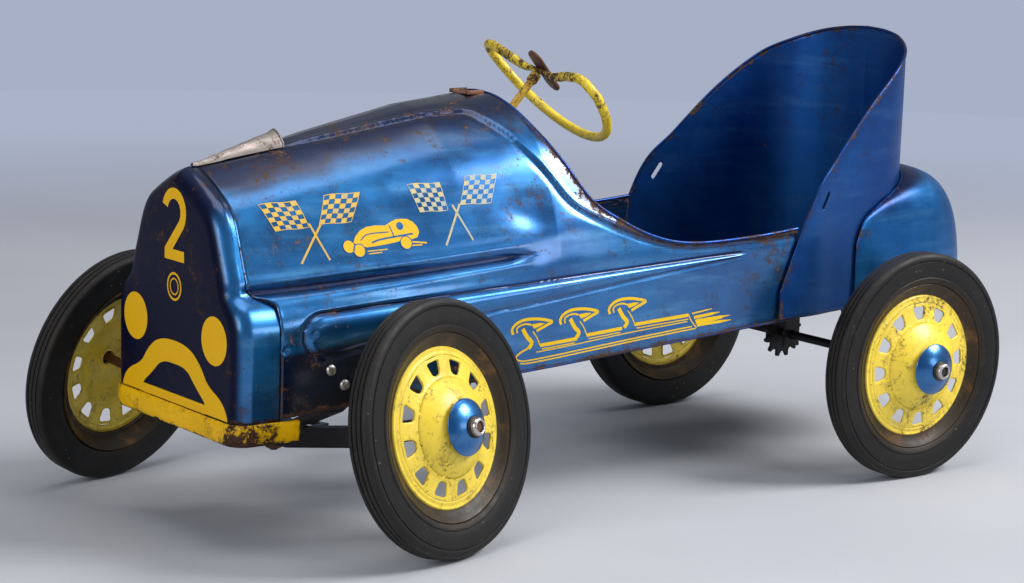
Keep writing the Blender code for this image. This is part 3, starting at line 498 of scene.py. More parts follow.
def tyre_rubber(name):
    """Dull rubber, dustier on the tread and brown with dirt beside the rim."""
    g = Nodes(name)
    dust = g.noise(16, 7, 0.65)
    scuff = g.noise(70, 8, 0.75, 0.5)
    radius = g.attribute("radius_mm")
    color = g.mix(g.range(dust, 0.3, 0.75), rgb(8, 8, 8), rgb(20, 19, 18))
    color = g.mix(g.range(scuff, 0.56, 0.72) * 0.5, color, rgb(70, 62, 55))
    tread = g.range(radius, 117.5, 121.0) * g.range(dust, 0.25, 0.7, 0.2, 0.6)
    color = g.mix(tread, color, rgb(50, 45, 41))
    inner = g.range(radius, 99.0, 89.5) * g.range(dust, 0.3, 0.6, 0.3, 0.75)
    color = g.mix(inner, color, rgb(52, 40, 28))
    chip = g.range(g.cells(120), 0.13, 0.05) * g.range(scuff, 0.5, 0.58)
    color = g.mix(chip * 0.7, color, rgb(150, 138, 110))
    g.set(Base_Color=color, Roughness=g.range(scuff, 0.3, 0.8, 0.45, 0.72), Specular_IOR_Level=0.3)
    rings = g.math("SINE", radius * 5.2)
    g.bump(g.noise(700, 4, 0.7) * 0.5 + rings * 0.2 + scuff * 0.6, 0.35, 0.0005)
    return g.material


BLUE = blue_body("blue_body", 0.02, 5.0)
BLUE_SEAT = blue_body("blue_seat", -0.02, 4.0, deep=0.62, coat=0.15, tint=(6, 44, 128), matt=0.14)
BLUE_TAIL = blue_body("blue_tail", -0.01, 4.0, deep=0.2, coat=0.12, matt=0.1)
BLUE_NOSE = blue_body("blue_nose", -0.015, 4.0, nose=True, sheen=0.12)
BLUE_CAP = blue_body("blue_cap", -0.03, deep=0.25, ages=False, coat=0.8)
BLUE_EDGE = blue_body("blue_edge", 0.075, deep=0.7, ages=False, coat=0.1)
INK_GAP = blue_body("ink_gap", -0.06, deep=0.1, ages=False)
LEMON = yellow_enamel("lemon_enamel", rgb(238, 208, 66), 0.016, grime=0.4, grain=1.3)
LEMON_RING = yellow_enamel("lemon_ring", rgb(232, 202, 50), 0.02, grime=0.55, grain=1.7, ages=True)
LEMON_ROD = yellow_enamel("lemon_rod", rgb(214, 172, 60), 0.055, grime=0.8, grain=1.7)
AMBER = yellow_enamel("amber_enamel", rgb(238, 184, 3), -0.02, grime=0.35, grain=1.2, edge_reach=4.0,
                      coat=0, sheen=0.2, ages=True)
GRIME = yellow_enamel("rim_grime", rgb(46, 38, 24), 0.03, grime=0.9, grain=1.2, coat=0, sheen=0.3)
# The paint under the nose's print is the nose face's dark navy, which is painted shade.
AMBER_FLAT = decal_ink("amber_flat", rgb(240, 184, 2), rgb(8, 16, 58), -0.075, 0.05)
FLAG_INK = decal_ink("flag_ink", rgb(228, 184, 66), rgb(70, 150, 205), -0.02, 0.45)
FLAG_FAINT = decal_ink("flag_faint", rgb(222, 196, 120), rgb(100, 170, 215), 0.02, 0.8)
CAR_INK = decal_ink("car_ink", rgb(238, 190, 34), rgb(60, 140, 200), -0.07, 0.1)
PIPE_INK = decal_ink("pipe_ink", rgb(240, 196, 24), rgb(30, 90, 160), -0.06, 0.12)
BRIGHT = bright_metal("bright_trim", rgb(190, 178, 170), rust=0.075, rough=0.34)
NUT = bright_metal("nut_metal", rgb(206, 200, 196), rust=-0.01, rough=0.24)
RUSTY = dark_steel("rusty_steel", (84, 54, 36), rust=0.07)
BLACK = dark_steel("black_steel", (26, 25, 26), rust=0.0)
RUBBER = tyre_rubber("tyre_rubber")
PEDAL = dark_steel("pedal_rubber", (24, 23, 23), rust=-0.2)




# ---------------------------------------------------------------- body surface

# Sections of the shell from its low edge up to the middle of the hood, as (x, z), at the nose and the cowl.
# A place is how far up a section a point lies, counted in spans between these keys.
NOSE_SECTION = (
    (118.5, 131), (119, 162), (119, 198), (117.5, 219), (110, 234), (98, 247), (92.5, 262),
    (85, 281), (74, 309), (62, 326), (46, 336.5), (30, 345), (14, 352.5), (0, 357),
)
COWL_SECTION = (
    (136, 155), (136.5, 190), (137, 222), (137, 243), (137, 258), (135, 272), (130, 295),
    (121, 317), (106, 349), (90, 372), (70, 390), (48, 404.5), (24, 414), (0, 417),
)
SPANS = 13
SEAM_UPPER, SEAM_LOWER, NOSE_Y, NOSE_FOOT = -765, -742, -787, 131
COWL_Y, OPENING_Y, SHELL_END = -430, -440, -118
HOOD_LEAN = 25  # the hood's last row ends this far further forward at the low edge
RIM = (
    (-440, 13), (-436, 11.9), (-428, 10.4), (-415, 8.9), (-394, 7.5), (-362, 6.3),
    (-318, 5.35), (-262, 4.72), (-190, 4.75), (-118, 5.05),
)
RISE = 1.18  # the hood climbs faster than the sides widen, up to RISE_UNTIL of the way to the cowl
RISE_UNTIL = 0.7


def body_point(y, place):
    """The plain shell's (x, z)."""
    along = min(max((y - SEAM_UPPER) / (COWL_Y - SEAM_UPPER), 0), 1)
    nx, nz = curve_at(NOSE_SECTION, place)
    cx, cz = curve_at(COWL_SECTION, place)
    rise = along * RISE
    if along > RISE_UNTIL:
        rise = 1 - (1 - along) * (1 - RISE_UNTIL * RISE) / (1 - RISE_UNTIL)
    high = min(max((place - 5) / 3, 0), 1)
    lift = along + (rise - along) * high
    flare = 1 + 0.04 * min(max((y - COWL_Y) / 330, 0), 1)
    edge_rise = 21 * max((y - COWL_Y) / 310, 0) * max(1 - place / 3, 0)
    return (nx + (cx - nx) * along) * flare, nz + (cz - nz) * lift + edge_rise


def shell_line(keys):
    """Points of the plain shell under (y, place) keys, as an array."""
    return np.array([(body_point(y, p)[0], y, body_point(y, p)[1]) for y, p in keys])


def seam_y(place):
    return SEAM_LOWER + (SEAM_UPPER - SEAM_LOWER) * smooth(4.05, 5.45, place)


BEAD_TOP = ((-721, 226), (-430, 242), (-230, 250.5), (-195, 251.5))
BEAD_LOW = ((-700, 188), (-673, 192), (-589, 205), (-524, 215), (-429, 225), (-300, 239), (-195, 249.5))
BEAD_FRONT, BEAD_BACK = -697, -195
BEAD_HEIGHT = 4.6
GROOVE = ((-765, 249.5), (-700, 252.5), (-600, 259), (-520, 265), (-465, 269.5))
SPOT_WELDS = ((-748, 230), (-738, 196.5), (-709, 211))
WELD_PITS = ((-747, 231), (-737, 198))
SIDE_PLACES = 6.8  # the bead and the groove are pressed below this place
COWL_DENT = 3.2


def bead_relief(y, z):
    """The long bead that tapers to the back, the pressed line that frames it and the spot welds ahead."""
    yc = min(max(y, BEAD_FRONT), BEAD_BACK)
    top, low = table(BEAD_TOP, yc), table(BEAD_LOW, yc)
    mid, half = (top + low) / 2, max((top - low) / 2, 0.8)
    d = math.hypot(yc - y, z - mid)
    relief = 0.0
    if d < half:
        relief = min(BEAD_HEIGHT, half * 0.42) * (1 - (d / half) ** 2.6) ** 0.9
    upper = smooth(-0.55, 0.35, (z - mid) / max(half, 1)) if y > BEAD_FRONT else 1.0
    for weld_y, weld_z in SPOT_WELDS:
        near = math.hypot(y - weld_y, z - weld_z)
        relief += 0.7 * bell(near - 5.5, 2.2) - 1.5 * bell(near, 3.4)
    return relief - (0.8 + 1.5 * upper) * bell(d - half - 1.2, 2.0) * smooth(-165, -215, y)


def groove_relief(y, z):
    """The pressed line with two lips between the hood's side and the shoulder; it runs out in a point."""
    off = z - table(GROOVE, y)
    wide = 3.6 * smooth(-452, -500, y) + 0.6
    fade = smooth(-450, -490, y)
    depth = 4.4 * fade * smooth(-790, -770, y)
    return fade * (1.1 * bell(off - 9, 4.5) + 1.8 * bell(off + 8.5, 5.5)) - depth * bell(off, wide)


CREASE = (
    (-690, 12.2), (-640, 11.95), (-580, 11.65), (-512, 11.35), (-484, 11.2), (-470, 10.5), (-458, 9.75),
    (-444, 8.75), (-425, 7.7), (-400, 6.75), (-366, 5.95), (-318, 5.2), (-262, 4.62), (-190, 4.6), (-118, 4.8),
)
CREASE_LINE = np.array(curve_points(CREASE, 120))
CREASE_XYZ = shell_line(CREASE_LINE)


def crease_distance(x, y, z, place):
    """Millimetres from the crease, positive on its cockpit side."""
    gap = CREASE_XYZ - np.array((abs(x), y, z))
    i = int(np.argmin((gap**2).sum(axis=1)))
    d = math.sqrt(float((gap[i] ** 2).sum()))
    j = min(max(i, 1), len(CREASE_LINE) - 2)
    run = CREASE_LINE[j + 1] - CREASE_LINE[j - 1]
    off = np.array((y, place)) - CREASE_LINE[j]
    side = (run[0] / 30) * off[1] - run[1] * (off[0] / 30)
    return d if side > 0 else -d


def body_relief(x, y, z, place):
    """How far the pressed features and the dents stand out from the plain shell."""
    d = crease_distance(x, y, z, place)
    relief = (1.5 * smooth(-5, 3, d) + 0.8 * bell(d - 3, 3) - 0.9 * bell(d + 4, 3.5)) * smooth(-700, -630, y)
    if place < SIDE_PLACES:
        relief += bead_relief(y, z) + groove_relief(y, z)
    for pit_y, pit_z in WELD_PITS:
        relief -= 1.4 * bell(math.hypot(y - pit_y, z - pit_z), 3)
    dent = noise.noise((x * 0.011, y * 0.011, z * 0.016)) * 1.0
    dent += noise.noise((x * 0.035 + 9, y * 0.035, z * 0.035)) * 0.22
    relief += dent * smooth(SEAM_UPPER, SEAM_UPPER + 40, y)
    return relief - COWL_DENT * bell(y + 452, 26) * bell(z - 306, 17)


def body_normal(y, place):
    xa, za = body_point(y, max(place - 0.03, 0))
    xb, zb = body_point(y, min(place + 0.03, SPANS))
    xc, zc = body_point(y + 1.5, place)
    xd, zd = body_point(y - 1.5, place)
    n = Vector((xc - xd, 3.0, zc - zd)).cross(Vector((xb - xa, 0, zb - za)))
    if n.length < 1e-9:
        return Vector((0, 0, 1))
    n.normalize()
    if n.x < -1e-6 or (abs(n.x) < 1e-6 and n.z < 0):
        n = -n
    return n


def skin_point(y, place, lift=0.0):
    """A point of the outer skin with its pressed features, lifted by that many millimetres."""
    x, z = body_point(y, place)
    n = body_normal(y, place)
    if place > SPANS - 0.02:
        n = Vector((0, n.y, n.z))
    p = Vector((x, y, z)) + n * (body_relief(x, y, z, place) + lift)
    return (max(p.x, 0.0), p.y, p.z)


HALVINGS = 26


def halved(low, high, below):
    """The place between low and high at which below stops being true."""
    for _ in range(HALVINGS):
        mid = (low + high) / 2
        low, high = (mid, high) if below(mid) else (low, mid)
    return low, high


def place_at(y, z):
    """The place along the section where the shell is z high."""
    return sum(halved(0.0, float(SPANS), lambda mid: body_point(y, mid)[1] < z)) / 2


def hood_height(x, y):
    return body_point(y, halved(8.0, float(SPANS), lambda mid: body_point(y, mid)[0] > abs(x))[1])[1]


def shell_rust_and_shade(place, y, z, rim_gap):
    """How rusty the shell is at a point and how much painted shade it takes, each from 0 to 1."""
    # top: rust on the hood's top, and painted shade standing for its dark reflection.
    top = smooth(8.4, 11.2, place + 0.9 * noise.noise((y * 0.02, z * 0.02, 3.0)))
    top *= 1 - 0.2 * smooth(-560, -440, y)
    rim = smooth(14, 3, rim_gap)
    # under: painted shadow on the panel under the bead, beside the wheel.
    under = smooth(-560, -640, y) * smooth(203, 190, z - (y + 700) * 0.12)
    # hem: rust and painted shade along the low edge.
    hem = smooth(13, 2, z - body_point(y, 0)[1])
    # line: painted shade in the pressed lines of the bead and the groove.
    line = 0.0
    if place < SIDE_PLACES:
        line = min(max(0.0, -(bead_relief(y, z) + 0.3) / 1.7, -groove_relief(y, z) / 4.0), 1)
    age = max(0.7 * top, 0.75 * rim, 0.12 * under, 0.35 * hem, 0.2 * line)
    return age, max(top, 0.7 * rim, 0.95 * under, 0.4 * hem, 0.85 * line)


def shell_row(number, hood, rim, columns):
    """The (y, place) points of one row, from the low edge up: to the hood's middle first, then to the rim."""
    low_end = OPENING_Y - HOOD_LEAN
    for c in range(columns):
        share = c / (columns - 1)
        if number < hood:
            place = SPANS * share
            t = number / hood
            y_end = low_end + (OPENING_Y - low_end) * share
            yield (seam_y(place) + 0.4) * (1 - t) + y_end * t, place
        else:
            y_top, top_place = rim[number - hood]
            low = low_end + (SHELL_END - low_end) * (number - hood) / (len(rim) - 1)
            yield low + (y_top - low) * share, top_place * share


def build_shell():
    columns, hood = 190, 104
    rim = curve_points(RIM, 120)
    rim_xyz = shell_line(rim)
    sheet = Sheet()
    for number in range(hood + len(rim)):
        points = list(shell_row(number, hood, rim, columns))
        edge, wear = [], []
        for y, place in points:
            x, z = body_point(y, place)
            d = math.sqrt(float(((rim_xyz - np.array((x, y, z))) ** 2).sum(axis=1).min()))
            above = z - body_point(y, 0)[1]
            edge.append(min(d, above + 0.5, 3 + (y - seam_y(place)), SHELL_END - y + 0.5))
            # each point's rust and painted shade
            wear.append(shell_rust_and_shade(place, y, z, d))
        ages, shades = zip(*wear)
        sheet.add([skin_point(y, place) for y, place in points], edge, ages, shades)
    shell = link("shell_skin", mirrored(sheet.mesh()), BLUE, "body", ["body_shell"], 50)
    thicken(shell)
    route = [skin_point(y, p, -0.6) for y, p in curve_points(RIM, 150)]
    loop = [(-x, y, z) for x, y, z in route[::-1]] + route[1:]
    link("cockpit_rim", tube(loop, 1.9), BLUE_EDGE, "body")
    hem = []
    for s in range(90):
        y = SEAM_LOWER + 2 + (SHELL_END - SEAM_LOWER - 4) * s / 89
        x, z = body_point(y, 0)
        hem.append((x - 1.4, y, z + 0.6))
    for name, side in (("hem_left", 1), ("hem_right", -1)):
        bead = tube([(x * side, y, z) for x, y, z in hem], 1.5, 8)
        link(name, bead, BLUE_EDGE, "body")


def nose_section(inset, count):
    """The nose's outline in (x, z), moved inward."""
    pts = [Vector(body_point(SEAM_UPPER, SPANS * i / (count - 1))) for i in range(count)]
    moved = []
    for i, p in enumerate(pts):
        run = (pts[min(i + 1, count - 1)] - pts[max(i - 1, 0)]).normalized()
        inward = Vector((-run.y, run.x))
        if i == 0:
            inward = Vector((-1, 0))
        if i == count - 1:
            inward = Vector((0, -1))
        moved.append(p + inward * inset)
    return moved


# Painted shade on the nose: darker toward its top and its foot.
def nose_shade(place, z):
    return max(0.95 * smooth(7.2, 10.0, place), 0.35 * smooth(175, 140, z))


def build_nose():
    """Rows from the seam forward, round the front corner, and in across the flat face."""
    count, back, corner, turn = 112, 10, 17.0, 14
    sheet = Sheet()
    starts = [SPANS * i / (count - 1) for i in range(count)]
    normals = [body_normal(SEAM_UPPER + 1, place) for place in starts]

    def add(row, edge, shades):
        ages = [
            0.45 * shade + 0.4 * smooth(230, 150, z) * smooth(20, 60, x)
            for shade, (x, y, z) in zip(shades, row)]
        sheet.add(row, edge, ages, shades)

    for step in (-2, -1, *range(back)):
        t = max(step, 0) / back
        tuck = 1.7 if step < 0 else 0.0
        row, edge = [], []
        for place, n in zip(starts, normals):
            x, z = body_point(SEAM_UPPER, place)
            y = (seam_y(place) - 0.5 + (4.0 if step == -2 else 0.0)) * (1 - t) + (NOSE_Y + corner) * t
            dent = noise.noise((x * 0.02, y * 0.03, z * 0.02 + 4)) * 0.5
            out = dent * t - tuck - 3.6 * bell(z - 249, 5.2) * (1 - 0.5 * t)
            row.append((max(x + n.x * out, 0), y, z + n.z * out))
            edge.append(min(3 + (seam_y(place) - y), z - NOSE_FOOT + 0.5))
        add(row, edge, [nose_shade(place, p[2]) for p, place in zip(row, starts)])
    for step in range(turn + 1):
        angle = math.pi / 2 * step / turn
        y = NOSE_Y + corner * (1 - math.sin(angle))
        keep = math.cos(angle)
        row, edge = [], []
        for n, p in zip(normals, nose_section(corner * (1 - keep), count)):
            groove = -1.8 * bell(p.y - 249, 6.0) * keep
            row.append((max(p.x + n.x * groove, 0), y, p.y + n.z * groove))
            edge.append(p.y - NOSE_FOOT + 0.5)
        # painted shade grows as the corner turns toward the flat face
        add(row, edge, [max(nose_shade(place, p[2]), 0.6 * (1 - keep)) for p, place in zip(row, starts)])
    last = sheet.rows[-1]
    for share in (0.75, 0.5, 0.25, 0.0):
        edge = [20.0 if z > 140 else z - NOSE_FOOT + 0.5 for x, y, z in last]
        # the flat face takes painted shade all over
        add([(x * share, y, z) for x, y, z in last], edge, [0.5] * count)
    thicken(link("nose_skin", mirrored(sheet.mesh()), BLUE_NOSE, "body", ["nose_cap"], 50))


build_shell()
build_nose()


# ---------------------------------------------------------------- seat and tail

SEAT_PLAN = (
    (146, -141), (145, -98), (136.5, -57), (127, -4), (114, 47), (93, 79), (64, 99), (32, 108.5), (0, 111),
)
SEAT_EDGE = ((207,), (303,), (346,), (396,), (434,), (453,), (465,), (471,), (473,))
SEAT_LOW = 178
SEAT_SLOT, SLOT_HALF, SLOT_RADIUS = Vector((-77.5, 300.5)), 8.0, 2.6
TAIL_TOP = (
    (132.8, -21, 246), (130.8, -10, 271), (125.4, 15.5, 287), (118.4, 41.8, 298), (107, 66.6, 308),
    (87.2, 88, 315), (60.6, 103.8, 318), (30.3, 112.8, 319), (0, 114.8, 319.5),
)
TAIL_LOW = (
    (133.6, -21), (134.4, 0), (135, 35), (134, 75), (128, 118), (112, 158), (84, 188), (44, 206), (0, 212),
)
TAIL_LOW_Z = 173
TAIL_ROUND = 0.72  # below 1, the tail's section is squarer than an ellipse


def cut_slots(seat):
    """Cut one upright slot through each side of the seat."""
    run = Vector((5.5, 8.5)).normalized()
    across = Vector((-run.y, run.x))
    outline = []
    for end, turn in ((1, 0), (-1, math.pi)):
        for s in range(9):
            a = -math.pi / 2 + math.pi * s / 8 + turn
            round_off = run * math.cos(a) * SLOT_RADIUS + across * math.sin(a) * SLOT_RADIUS
            outline.append(SEAT_SLOT + run * SLOT_HALF * end + round_off)
    b = bmesh.new()
    for side in (1, -1):
        prism(b, *[[W((side * x, p.x, p.y)) for p in outline] for x in (120, 160)])
    tool = bpy.data.objects.new("slot_tool", mesh_of(b))
    bpy.context.scene.collection.objects.link(tool)
    cut = seat.modifiers.new("slots", "BOOLEAN")
    cut.object = tool
    cut.solver = "EXACT"
    apply_modifiers(seat)
    bpy.data.objects.remove(tool, do_unlink=True)


def build_seat():
    columns, levels = 150, 44
    plan, edge = curve_points(SEAT_PLAN, columns), curve_points(SEAT_EDGE, columns)
    sheet = Sheet()
    for level in range(levels):
        share = level / (levels - 1)
        row, wear = [], []
        for (x, y), (top,) in zip(plan, edge):
            z = SEAT_LOW + (top - SEAT_LOW) * share
            dent = noise.noise((x * 0.012, y * 0.012, z * 0.008)) * 0.8 * smooth(0, 20, min(x, y + 141 + x))
            row.append((max(x + dent * 0.6, 0) if x > 1 else x, y + dent * 0.4, z))
            wear.append(min((top - z) * 0.55, y + 141.5, z - SEAT_LOW + 1.5))
        sheet.add(row, wear, [0.35 * smooth(14, 2, w) for w in wear], [0.25 * smooth(16, 2, w) for w in wear])
    seat = link("seat_skin", mirrored(sheet.mesh()), BLUE_SEAT, "body", ["seat_back"], 50)
    thicken(seat, SEAT_SHEET)
    cut_slots(seat)
    front = [(145.4, -140.8, SEAT_LOW + (207 - SEAT_LOW) * s / 12) for s in range(12)]
    top = [(x - 0.6, y, z - 0.4 - 1.3 * smooth(435, 462, z)) for (x, y), (z,) in zip(plan, edge)]
    link("seat_rim", tube(both_sides(front + top), 1.7), BLUE_EDGE, "body")


def build_tail():
    columns, steps = 110, 44
    tops, lows = curve_points(TAIL_TOP, columns), curve_points(TAIL_LOW, columns)
    sheet = Sheet()
    for step in range(steps):
        angle = math.pi / 2 * step / (steps - 1)
        out, down = math.sin(angle) ** TAIL_ROUND, math.cos(angle) ** TAIL_ROUND
        row, wear = [], []
        for top, low in zip(tops, lows):
            x = top[0] + (low[0] - top[0]) * out
            y = top[1] + (low[1] - top[1]) * out
            z = TAIL_LOW_Z + (top[2] - TAIL_LOW_Z) * down
            dent = noise.noise((x * 0.014 + 3, y * 0.014, z * 0.014)) * 0.9 * math.sin(angle * 2)
            row.append((max(x + dent * 0.5, 0) if x > 1 else x, y + dent * 0.4, z + dent * 0.3))
            wear.append(min(math.dist((x, y, z), top) + 1.0, z - TAIL_LOW_Z + 0.5))
        ages = [0.8 * smooth(26, 4, w) * smooth(200, 240, p[2]) for w, p in zip(wear, row)]
        # painted shade along the tail's top, high up near its upper outline
        shades = [0.8 * smooth(48, 6, w) * smooth(255, 295, p[2]) for w, p in zip(wear, row)]
        sheet.add(row, wear, ages, shades)
    thicken(link("tail_skin", mirrored(sheet.mesh()), BLUE_TAIL, "body", ["tail_deck"], 50))
    hem = [(x - 0.8 if x > 1 else x, y - 2.0 * smooth(150, 200, y), TAIL_LOW_Z + 0.8) for x, y in lows]
    link("tail_hem", tube(both_sides(hem), 1.6, 8), BLUE_EDGE, "body")
    seam = [(x, y + 0.2, z + 0.3) for x, y, z in tops]
    link("tail_seam", tube(both_sides(seam), 0.9, 8), BLUE_EDGE, "body")


build_seat()
build_tail()


# ---------------------------------------------------------------- bumper, scoop, bracket, bolts

LIP_LOW, LIP_HIGH, LIP_END = 109, 130, -718.6
SCOOP_FRONT, SCOOP_BACK = -769, -679


def build_bumper():
    """The yellow lip that wraps the nose's foot."""
    half, front, radius = 120.0, NOSE_Y - 3, 20.0
    plan = [(half, LIP_END + (front + radius - LIP_END) * s / 14) for s in range(14)]
    plan += arc((half - radius, front + radius), radius, 0, -90, 16)
    plan += [((half - radius) * (1 - s / 14), front) for s in range(1, 15)]
    plan = both_sides(plan)
    count, levels = len(plan), 14
    sheet = Sheet()
    for level in range(levels + 1):
        t = level / levels
        z = LIP_LOW + (LIP_HIGH - LIP_LOW) * t
        crown = 1.0 * math.sin(math.pi * t) - 1.1 * (smooth(0.86, 1.0, t) + smooth(0.14, 0.0, t))
        row, wear = [], []
        for i, (x, y) in enumerate(plan):
            run = (Vector(plan[min(i + 1, count - 1)]) - Vector(plan[max(i - 1, 0)])).normalized()
            out = Vector((run.y, -run.x))
            if out.dot(Vector((x, y + 700))) < 0:
                out = -out
            out *= crown + noise.noise((x * 0.03, y * 0.03, z * 0.05)) * 0.7 - 0.3
            row.append((x + out.x, y + out.y, z))
            wear.append(min(z - 107, 134 - z, i * 4, (count - 1 - i) * 4))
        hem = 0.2 + 0.5 * smooth(116, 110, z)
        ages = [hem + 1.5 * smooth(85, 112, abs(x)) * smooth(-730, -760, y) for x, y in plan]
        sheet.add(row, wear, ages, [0.0] * count)
    mesh = reworked(sheet.mesh(), lambda b: face_out(b, 1, -1))
    thicken(link("bumper_skin", mesh, AMBER, "body", ["bumper_strip"], 50), LIP_SHEET)


def build_scoop():
    """The bright half-cone on the hood, open at its back."""
    rows = []
    steps, turns = 40, 36
    for step in range(steps + 1):
        s = step / steps
        y = SCOOP_FRONT + (SCOOP_BACK - SCOOP_FRONT) * s
        radius = 2.6 + 13.2 * s
        row = []
        for turn in range(turns + 1):
            a = math.pi * turn / turns
            x = radius * math.cos(a) * (1 + 0.12 * s * (1 - math.sin(a)))
            lift = 1.2 + radius * 0.72 * math.sin(a) ** 0.85
            ripple = 0.25 * math.sin(s * 34) * math.sin(a) + 0.3 * noise.noise((x * 0.12, y * 0.12, 1.0))
            row.append((x, y, hood_height(x, y) + lift + ripple + (0.6 if turn in (0, turns) else 0)))
        rows.append(row)
    mesh = reworked(grid(rows), lambda b: face_out(b, 2))
    thicken(link("scoop_skin", mesh, BRIGHT, "body", ["hood_scoop"], 50), THIN_SHEET)
    lip = [(x, y, z + 0.1) for x, y, z in rows[-1]]
    link("scoop_lip", tube(lip, 0.9, 8), BRIGHT, "body")


def build_bracket():
    """The clip with turned-up ends at the top of the cowl."""
    b = bmesh.new()
    top = hood_height(0, -452) + 0.4
    outline = [(-16, 0.2), (-15.5, 4.2), (-13.4, 4.4), (-13.0, 1.6), (-6, 1.3)]
    outline += [(-x, z) for x, z in outline[::-1]]
    prism(b, *[[W((x, y, top + z)) for x, z in outline] for y in (-462, -441)])
    bmesh.ops.bevel(b, geom=b.edges[:], offset=0.35 * MM, segments=2, affect="EDGES", profile=0.5)
    link("cowl_clip", mesh_of(b), RUSTY, "body", ["cowl_bracket"], 40)


def build_bolts():
    profile = [(0.2, 0), (0.2, 5.4), (1.0, 5.3), (1.9, 4.7), (2.7, 3.7), (3.2, 2.4), (3.4, 1.2), (3.4, 0)]
    spots = [(side, y, z) for side in (1, -1) for y, z in ((-689, 174.5), (-674, 159))]
    for number, (side, y, z) in enumerate(spots, 1):
        x = skin_point(y, place_at(y, z))[0]
        m = Matrix.Translation(W((side * x, y, z))) @ Matrix.Rotation(0 if side > 0 else math.pi, 4, "Z")
        name = f"round_bolt_{number}"
        link(name, lathe(profile, 32), NUT, "body", [f"body_bolt_{number}"], 40, m)


build_bumper()
build_scoop()
build_bracket()
build_bolts()


# ---------------------------------------------------------------- wheels


def turned_frame(place, *turns):
    """A frame at a place, turned by (degrees, axis) pairs one after the other."""
    m = Matrix.Translation(W(place))
    for degrees, axis in turns:
        m = m @ Matrix.Rotation(math.radians(degrees), 4, axis)
    return m


# Each wheel's body, the body that holds its nut, and its frame, whose X axis points out of the hub.
WHEELS = {
    "front_left": (
        "wheel_front_left", "front_axle",
        turned_frame((203.293, -615.94, 126.5), (16.2, "Z"), (-11, "Y"), (2, "X"))),
    "front_right": (
        "wheel_front_right", "front_axle",
        turned_frame((-203.293, -734.06, 126.5), (16.2, "Z"), (191, "Y"))),
    "rear_left": ("rear_axle", "rear_axle", turned_frame((208, 0, 127), (-3.5, "X"))),
    "rear_right": ("wheel_rear_right", "rear_axle", turned_frame((-208, 0, 127), (180, "Z"), (12, "X"))),
}

# Profiles as (along the axle, radius).
TYRE = (
    (-8.6, 121.5), (-8.0, 121.9), (-6.4, 121.9), (-5.9, 120.1), (-5.2, 120.1), (-4.7, 121.9), (-0.7, 121.9),
    (-0.4, 120.2), (0.4, 120.2), (0.7, 121.9), (4.7, 121.9), (5.2, 120.1), (5.9, 120.1), (6.4, 121.9),
    (8.0, 121.9), (9.4, 121.4), (10.8, 120.5), (11.9, 119.2), (12.6, 117.4), (12.9, 115.2), (12.7, 114.4),
    (11.9, 113.9), (11.9, 113.2), (12.7, 112.6), (12.8, 109), (12.6, 104), (12.3, 99), (11.6, 96.4),
    (12.3, 95.6), (12.4, 94.4), (12.0, 93.2), (11.2, 91.6), (10.6, 90.2), (9.6, 89.4), (8.4, 89.2), (3.0, 90.4),
    (-6, 90.6), (-11.0, 90.9), (-12.2, 92.0), (-12.6, 96), (-12.8, 104), (-12.9, 112), (-12.6, 117.4),
    (-11.6, 119.6), (-10.2, 121.0),
)
RIM_BAND = (
    (9.4, 89.0), (9.9, 88.4), (9.4, 87.4), (7.2, 84.4), (4.6, 80.4), (3.4, 77.6), (2.6, 75.2), (0.6, 74.6),
    (-1.4, 75.6), (-1.0, 79.2), (-6.4, 84.0), (-11.4, 87.4), (-13.4, 88.9), (-13.6, 89.8), (-11.0, 90.2),
    (-4, 89.9), (3.0, 89.7),
)
DISC = (
    (1.2, 76.6), (2.6, 76.7), (3.9, 76.1), (4.5, 75.2), (4.4, 74.0), (3.9, 73.0), (4.1, 72.0), (4.8, 70.4),
    (5.4, 68.4), (6.2, 65.0), (7.0, 60.0), (7.7, 55.0), (8.5, 51.0), (10.0, 47.8), (11.9, 45.4), (14.1, 42.6),
    (16.7, 39.4), (19.2, 36.0), (21.6, 32.0), (23.7, 27.4), (25.3, 22.0), (26.5, 16.0), (27.1, 11.0),
    (26.8, 8.6), (25.4, 7.7), (20, 7.5),
)
CAP = (
    (28.0, 26.4), (28.2, 26.9), (28.8, 27.1), (29.5, 26.8), (30.0, 26.0), (31.4, 24.4), (33.4, 21.4),
    (35.3, 17.8), (36.7, 14.2), (37.6, 11.4), (38.1, 9.8), (38.2, 6.0), (37.2, 5.8), (34, 11.0), (31, 18.0),
    (28.6, 24.0),
)
WASHER = ((38.4, 5.2), (38.3, 10.2), (38.6, 10.7), (39.4, 10.7), (40.2, 10.0), (40.6, 8.9), (40.6, 5.2))
PUSH_NUT = (
    (40.5, 5.2), (40.4, 8.4), (40.9, 8.9), (42.6, 8.8), (44.2, 8.5), (45.2, 7.9), (45.9, 7.0), (46.0, 6.2),
    (45.6, 5.4), (44.9, 5.1),
)
RISING_PART = sorted((r, along) for along, r in DISC[5:-3])

HOLES, FIRST_HOLE = 12, math.radians(7)
PITCH = math.tau / HOLES
HOLE_IN, HOLE_OUT = 50.8, 64.8
HOLE_MID = (HOLE_IN + HOLE_OUT) / 2 + 0.6
RING_IN, RING_OUT = 47.8, 68.4  # between these radii the disc is made of sectors around the holes
# Loops around a hole: the share of the way to the sector's edge, and how far the pressed lip drops there.
HOLE_LOOPS = ((0, 2.0), (0, 0.9), (0.06, 0.25), (0.14, 0), (0.3, 0), (0.55, 0), (0.8, 0), (1, 0))


